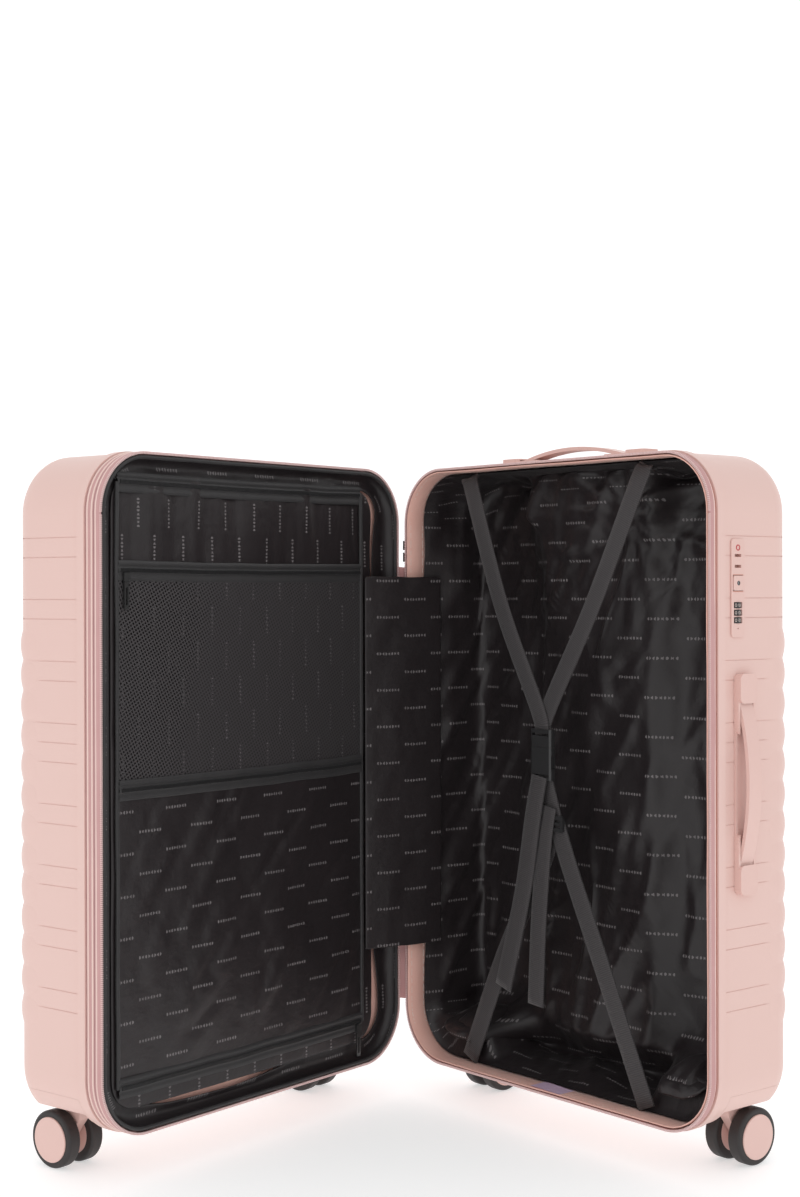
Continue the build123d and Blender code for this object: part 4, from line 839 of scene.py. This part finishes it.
def make_lid():
    lining("lid_lining_cloth", "lid", 34.0, 122.0, caster_boxes(LID_DEPTH), "lid", ("lid_lining",), 9.0)
    make_gusset()
    piping = [(6.6 + 2.0 * cos(a), 2.4 + 1.8 * sin(a)) for a in np.linspace(0, 2 * pi, 10, False)]
    rim_band("lid_gusset_piping", "lid", piping, "lid", "plain_black", wobble=0.5)
    rim_band("lid_binding_tape", "lid", rounded_profile(7.4, 1.3, 17.0, 62.0, 0.4), "lid", "binding")
    rim_band("lid_stay_tape", "lid", [(9.0, 19.0), (26.0, 18.0), (52.0, 17.0)], "lid", "binding",
             closed=False)
    rim_band("lid_zip_tape_cloth", "lid", rounded_profile(1.2, 1.5, 1.0, 11.0, 0.3), "lid", "zip_tape",
             ("lid_zip_tape",), wobble=0.35)
    rim_coil("lid_zip_teeth", "lid", 2.2, 1.4, "lid", "coil")
    for k, depth in enumerate((8.4, 14.4, 20.8)):
        cord = [(1.9 + 1.1 * cos(a), depth + 1.1 * sin(a)) for a in np.linspace(0, 2 * pi, 8, False)]
        rim_band(f"lid_zip_cord_{k}", "lid", cord, "lid", "rim_pink")
    rim_band("lid_expander_cloth", "lid", rounded_profile(1.8, 1.4, 12.2, 24.0, 0.3), "lid", "zip_tape",
             ("lid_expander",), wobble=0.35)
    low_x, high_x, low_z, high_z = PANEL
    cloth_panel("divider_cloth", low_x, high_x, low_z, high_z, panel_depth, "lining_upright", 34.0,
                replaces=("divider_panel",), thick=1.2)
    cloth_panel("lower_pocket_cloth", POCKET_X[0], POCKET_X[1], BOTTOM_ZIP, LOWER_BAND, lower_pocket_depth,
                "lining")
    cloth_panel("mesh_pocket_net", POCKET_X[0], POCKET_X[1], LOWER_BAND, MESH_ZIP, mesh_depth, "net",
                replaces=("mesh_pocket",), thick=0)
    for name, z, depth in (("top_zip", TOP_ZIP, 8.0), ("mesh_zip", MESH_ZIP, 7.4),
                           ("pocket_band", LOWER_BAND, 6.6), ("bottom_zip", BOTTOM_ZIP, 7.4)):
        made = zip_strip(name, z, POCKET_X[0], POCKET_X[1], depth)
        if name == "mesh_zip":
            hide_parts("pocket_zips")
    upright_piping("pocket_edge_hinge", POCKET_X[0] - 1, BOTTOM_ZIP, TOP_ZIP, 7.4)
    upright_piping("pocket_edge_lock", POCKET_X[1] + 1, BOTTOM_ZIP, TOP_ZIP, 7.4)


# ---------------------------------------------------------------- the spine
def spine_sheet(name, along_lid, along_back, low_z, high_z, mat, replaces, bow, step=5.0):
    """Cloth that crosses the hinge line, from a point of the lid to a point of the back half."""
    start, end = at("lid", *along_lid, 0), at("back", *along_back, 0)
    span = (end - start).length / MM
    out = (end - start).cross(Vector((0, 0, 1))).normalized()
    columns, rows = ceil(span / step) + 1, ceil((high_z - low_z) / 7) + 1
    verts, uv = [], []
    for i in range(rows):
        z = low_z + (high_z - low_z) * i / (rows - 1)
        for k in range(columns):
            t = k / (columns - 1)
            p = start.lerp(end, t)
            lift = bow * sin(pi * t) + 0.5 * folds(t * span, z, 31.0) * sin(pi * t) ** 0.5
            edge = 1.2 * noise.noise(Vector((t * 4, i * 0.0, 5)))
            verts.append(Vector((p.x, p.y, (z + edge) * MM)) + out * (lift * MM))
            uv.append((t * span * MM, z * MM))
    made = piece(name, verts, grid_faces(rows, columns), None, mat, uv)
    solid = made.modifiers.new("cloth", "SOLIDIFY")
    solid.thickness, solid.offset = 0.8 * MM, 0
    subdivide(made, 1)
    middle = PIVOT.copy()
    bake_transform(made)
    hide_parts(*replaces)
    return made


def make_spine():
    flap = spine_sheet("spine_flap_cloth", (62, 4.0), (22, 40), 180, 618, "lining", ("spine_flap",), 1.0)
    hinge = spine_sheet("spine_hinge_cloth", (0.6, 8), (0.6, 8), 112, 630, "zip_tape",
                        ("spine_hinge",), -2.0, 2.0)


# ---------------------------------------------------------------- ribs carried round the shells' edges
EDGE_R, WAVE_PITCH, WAVE_COUNT = 26.0, 0.045 * (TOP - BOTTOM), 13
WAVE_BOTTOM = BOTTOM + 0.153 * (TOP - BOTTOM)


def edge_ribs(side, depth, end):
    """The big face's ribs, faded out round the edge towards a side wall."""
    wall = 2.0
    section = [(wall, depth - EDGE_R - 20, 1, 0, 0.0, -0.5), (wall, depth - EDGE_R - 8, 1, 0, 0.5, -0.25)]
    for k in range(11):
        a = k / 10 * pi / 2
        rise = k / 10
        section.append((wall + EDGE_R * (1 - cos(a)), depth - EDGE_R + EDGE_R * sin(a), cos(a), sin(a),
                        0.8 + 2.2 * min(1, rise * 1.6), -0.15 - 2.9 * max(0, rise - 0.55) / 0.45))
    section.append((wall + EDGE_R + 8, depth, 0, 1, 3.0, -3.3))
    top = WAVE_BOTTOM + WAVE_COUNT * WAVE_PITCH
    heights = np.linspace(WAVE_BOTTOM - 5, top + 5, WAVE_COUNT * 14 + 5)
    verts, uv = [], []
    for z in heights:
        u = (z - WAVE_BOTTOM) / WAVE_PITCH
        crest = 1 - (2 * (u % 1) - 1) ** 2 if 0 <= u <= WAVE_COUNT else 0.0
        for x, d, nx, nd, swing, base in section:
            lift = swing * crest + base
            px, pd = x - nx * lift, d + nd * lift
            verts.append(at(side, px if end == 0 else WIDTH - px, pd, z))
            uv.append((x * MM, z * MM))
    piece(f"{side}_edge_ribs_{end}", verts, grid_faces(len(heights), len(section)), side, "shell", uv)


def make_ribs():
    for end in (0, 1):
        edge_ribs("back", BACK_DEPTH, end)
        edge_ribs("lid", LID_DEPTH, end)


# ---------------------------------------------------------------- CAD nodes that stay, with better materials
def dress_frame():
    finish = {
        "shell": "shell", "mounts": "shell", "sockets": "pink_trim", "feet": "pink_trim", "fork": "pink_trim",
        "hubs": "pink_trim", "handle_grip": "pink_trim", "lock_plate": "pink_trim", "release": "pink_trim",
        "dial": "black_plastic", "tyres": "tyre", "axle": "steel", "tubes": "aluminium",
        "trolley_cup": "black_plastic", "trolley_grip": "black_plastic", "trolley_button": "black_plastic",
        "trolley_base": "black_plastic", "buckle": "black_plastic", "adjuster": "black_plastic",
        "slider": "zip_metal",
    }
    for name, node in frame["nodes"].items():
        keys = [k for k in finish if k in name]
        if not keys:
            continue
        node.data.materials.clear()
        node.data.materials.append(MATS[finish[max(keys, key=len)]])
        node.data.polygons.foreach_set("use_smooth", [True] * len(node.data.polygons))
        node.data.set_sharp_from_angle(angle=radians(34))


def make_lock_trim():
    """The round ring, the two slots' lips and thin score lines of the lock plate; the score lines are strips of
    painted shade.
    """
    low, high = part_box("lock_plate")
    x = high.x
    y, z = (low.y + high.y) / 2, (low.z + high.z) / 2
    verts = []
    rows, ring = 20, 8
    for i in range(rows):
        a = 2 * pi * i / rows
        for k in range(ring):
            b = 2 * pi * k / ring
            r = 2.6 + 0.55 * cos(b)
            verts.append((x + (0.1 + 0.5 * sin(b)) * MM, y + r * cos(a) * MM, z + 41 * MM + r * sin(a) * MM))
    piece("lock_red_ring", verts, grid_faces(rows, ring, True, True), "back", "red",
          uv=[(0, 0)] * len(verts))
    # The score lines are thin strips of painted shade in the dark gap colour, laid where the grooves lie
    for name, up in (("upper", 13.4), ("lower", -3.6)):
        block("lock_score_shade_" + name, (x - 0.6 * MM, y - 8 * MM, z + (up - 0.3) * MM),
              (x + 0.06 * MM, y + 8 * MM, z + (up + 0.3) * MM), "back", "gap")
    release_low, release_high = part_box("lock_release")
    middle = (release_low + release_high) / 2
    disc("keyhole", (release_high.x - 0.25 * MM, middle.y, middle.z), 2.36, "lock_release", "black_plastic")
    block("keyhole_slot", (release_high.x - 0.4 * MM, middle.y - 0.3 * MM, middle.z - 1.5 * MM),
          (release_high.x - 0.2 * MM, middle.y + 0.3 * MM, middle.z + 1.5 * MM),
          "lock_release", "steel")
    for level in ("lower", "middle", "upper"):
        low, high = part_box(f"lock_dial_{level}")
        dial_marks(level, (low + high) / 2, (high.x - low.x) / 2)


def block(name, low, high, body, mat):
    """A plain box between two corners, in metres."""
    corners = [(x, y, z) for x in (low[0], high[0]) for y in (low[1], high[1]) for z in (low[2], high[2])]
    faces = [(0, 1, 3, 2), (4, 6, 7, 5), (0, 4, 5, 1), (2, 3, 7, 6), (0, 2, 6, 4), (1, 5, 7, 3)]
    return piece(name, corners, faces, body, mat, uv=[(0, 0)] * 8, smooth=False)


def disc(name, centre, radius, body, mat):
    """A round plate that faces out of the lock's wall."""
    ring = [(centre[0], centre[1] + radius * MM * cos(a), centre[2] + radius * MM * sin(a))
            for a in np.linspace(0, 2 * pi, 24, False)]
    back = [(x - 0.5 * MM, y, z) for x, y, z in ring]
    faces = [tuple(range(24)), *[(k, k + 24, (k + 1) % 24 + 24, (k + 1) % 24) for k in range(24)]]
    return piece(name, ring + back, faces, body, mat, uv=[(0, 0)] * 48, smooth=False)


def dial_marks(level, centre, radius):
    """Ten plain oval marks round a dial, one between each pair of flutes."""
    verts, faces = [], []
    rows, section = 14, 4
    for mark in range(10):
        turn = mark * 2 * pi / 10
        out, along = Vector((cos(turn), sin(turn), 0)), Vector((-sin(turn), cos(turn), 0))
        base = len(verts)
        for i in range(rows):
            a = 2 * pi * i / rows
            for k in range(section):
                b = 2 * pi * k / section
                wide, high = 0.85 + 0.2 * cos(b), 1.55 + 0.2 * cos(b)
                lift = radius + (0.12 * sin(b) - 0.02) * MM
                verts.append(centre + out * lift + along * (wide * cos(a) * MM) + Vector((0, 0, high * sin(a) * MM)))
        faces += [tuple(base + q for q in f) for f in grid_faces(rows, section, True, True)]
    piece(f"lock_dial_{level}_marks", verts, faces, f"lock_dial_{level}", "stitch",
          uv=[(0, 0)] * len(verts))


make_camera()
make_studio()
make_materials()
make_back_half()
make_straps()
make_lid()
make_spine()
make_ribs()
dress_frame()
make_lock_trim()
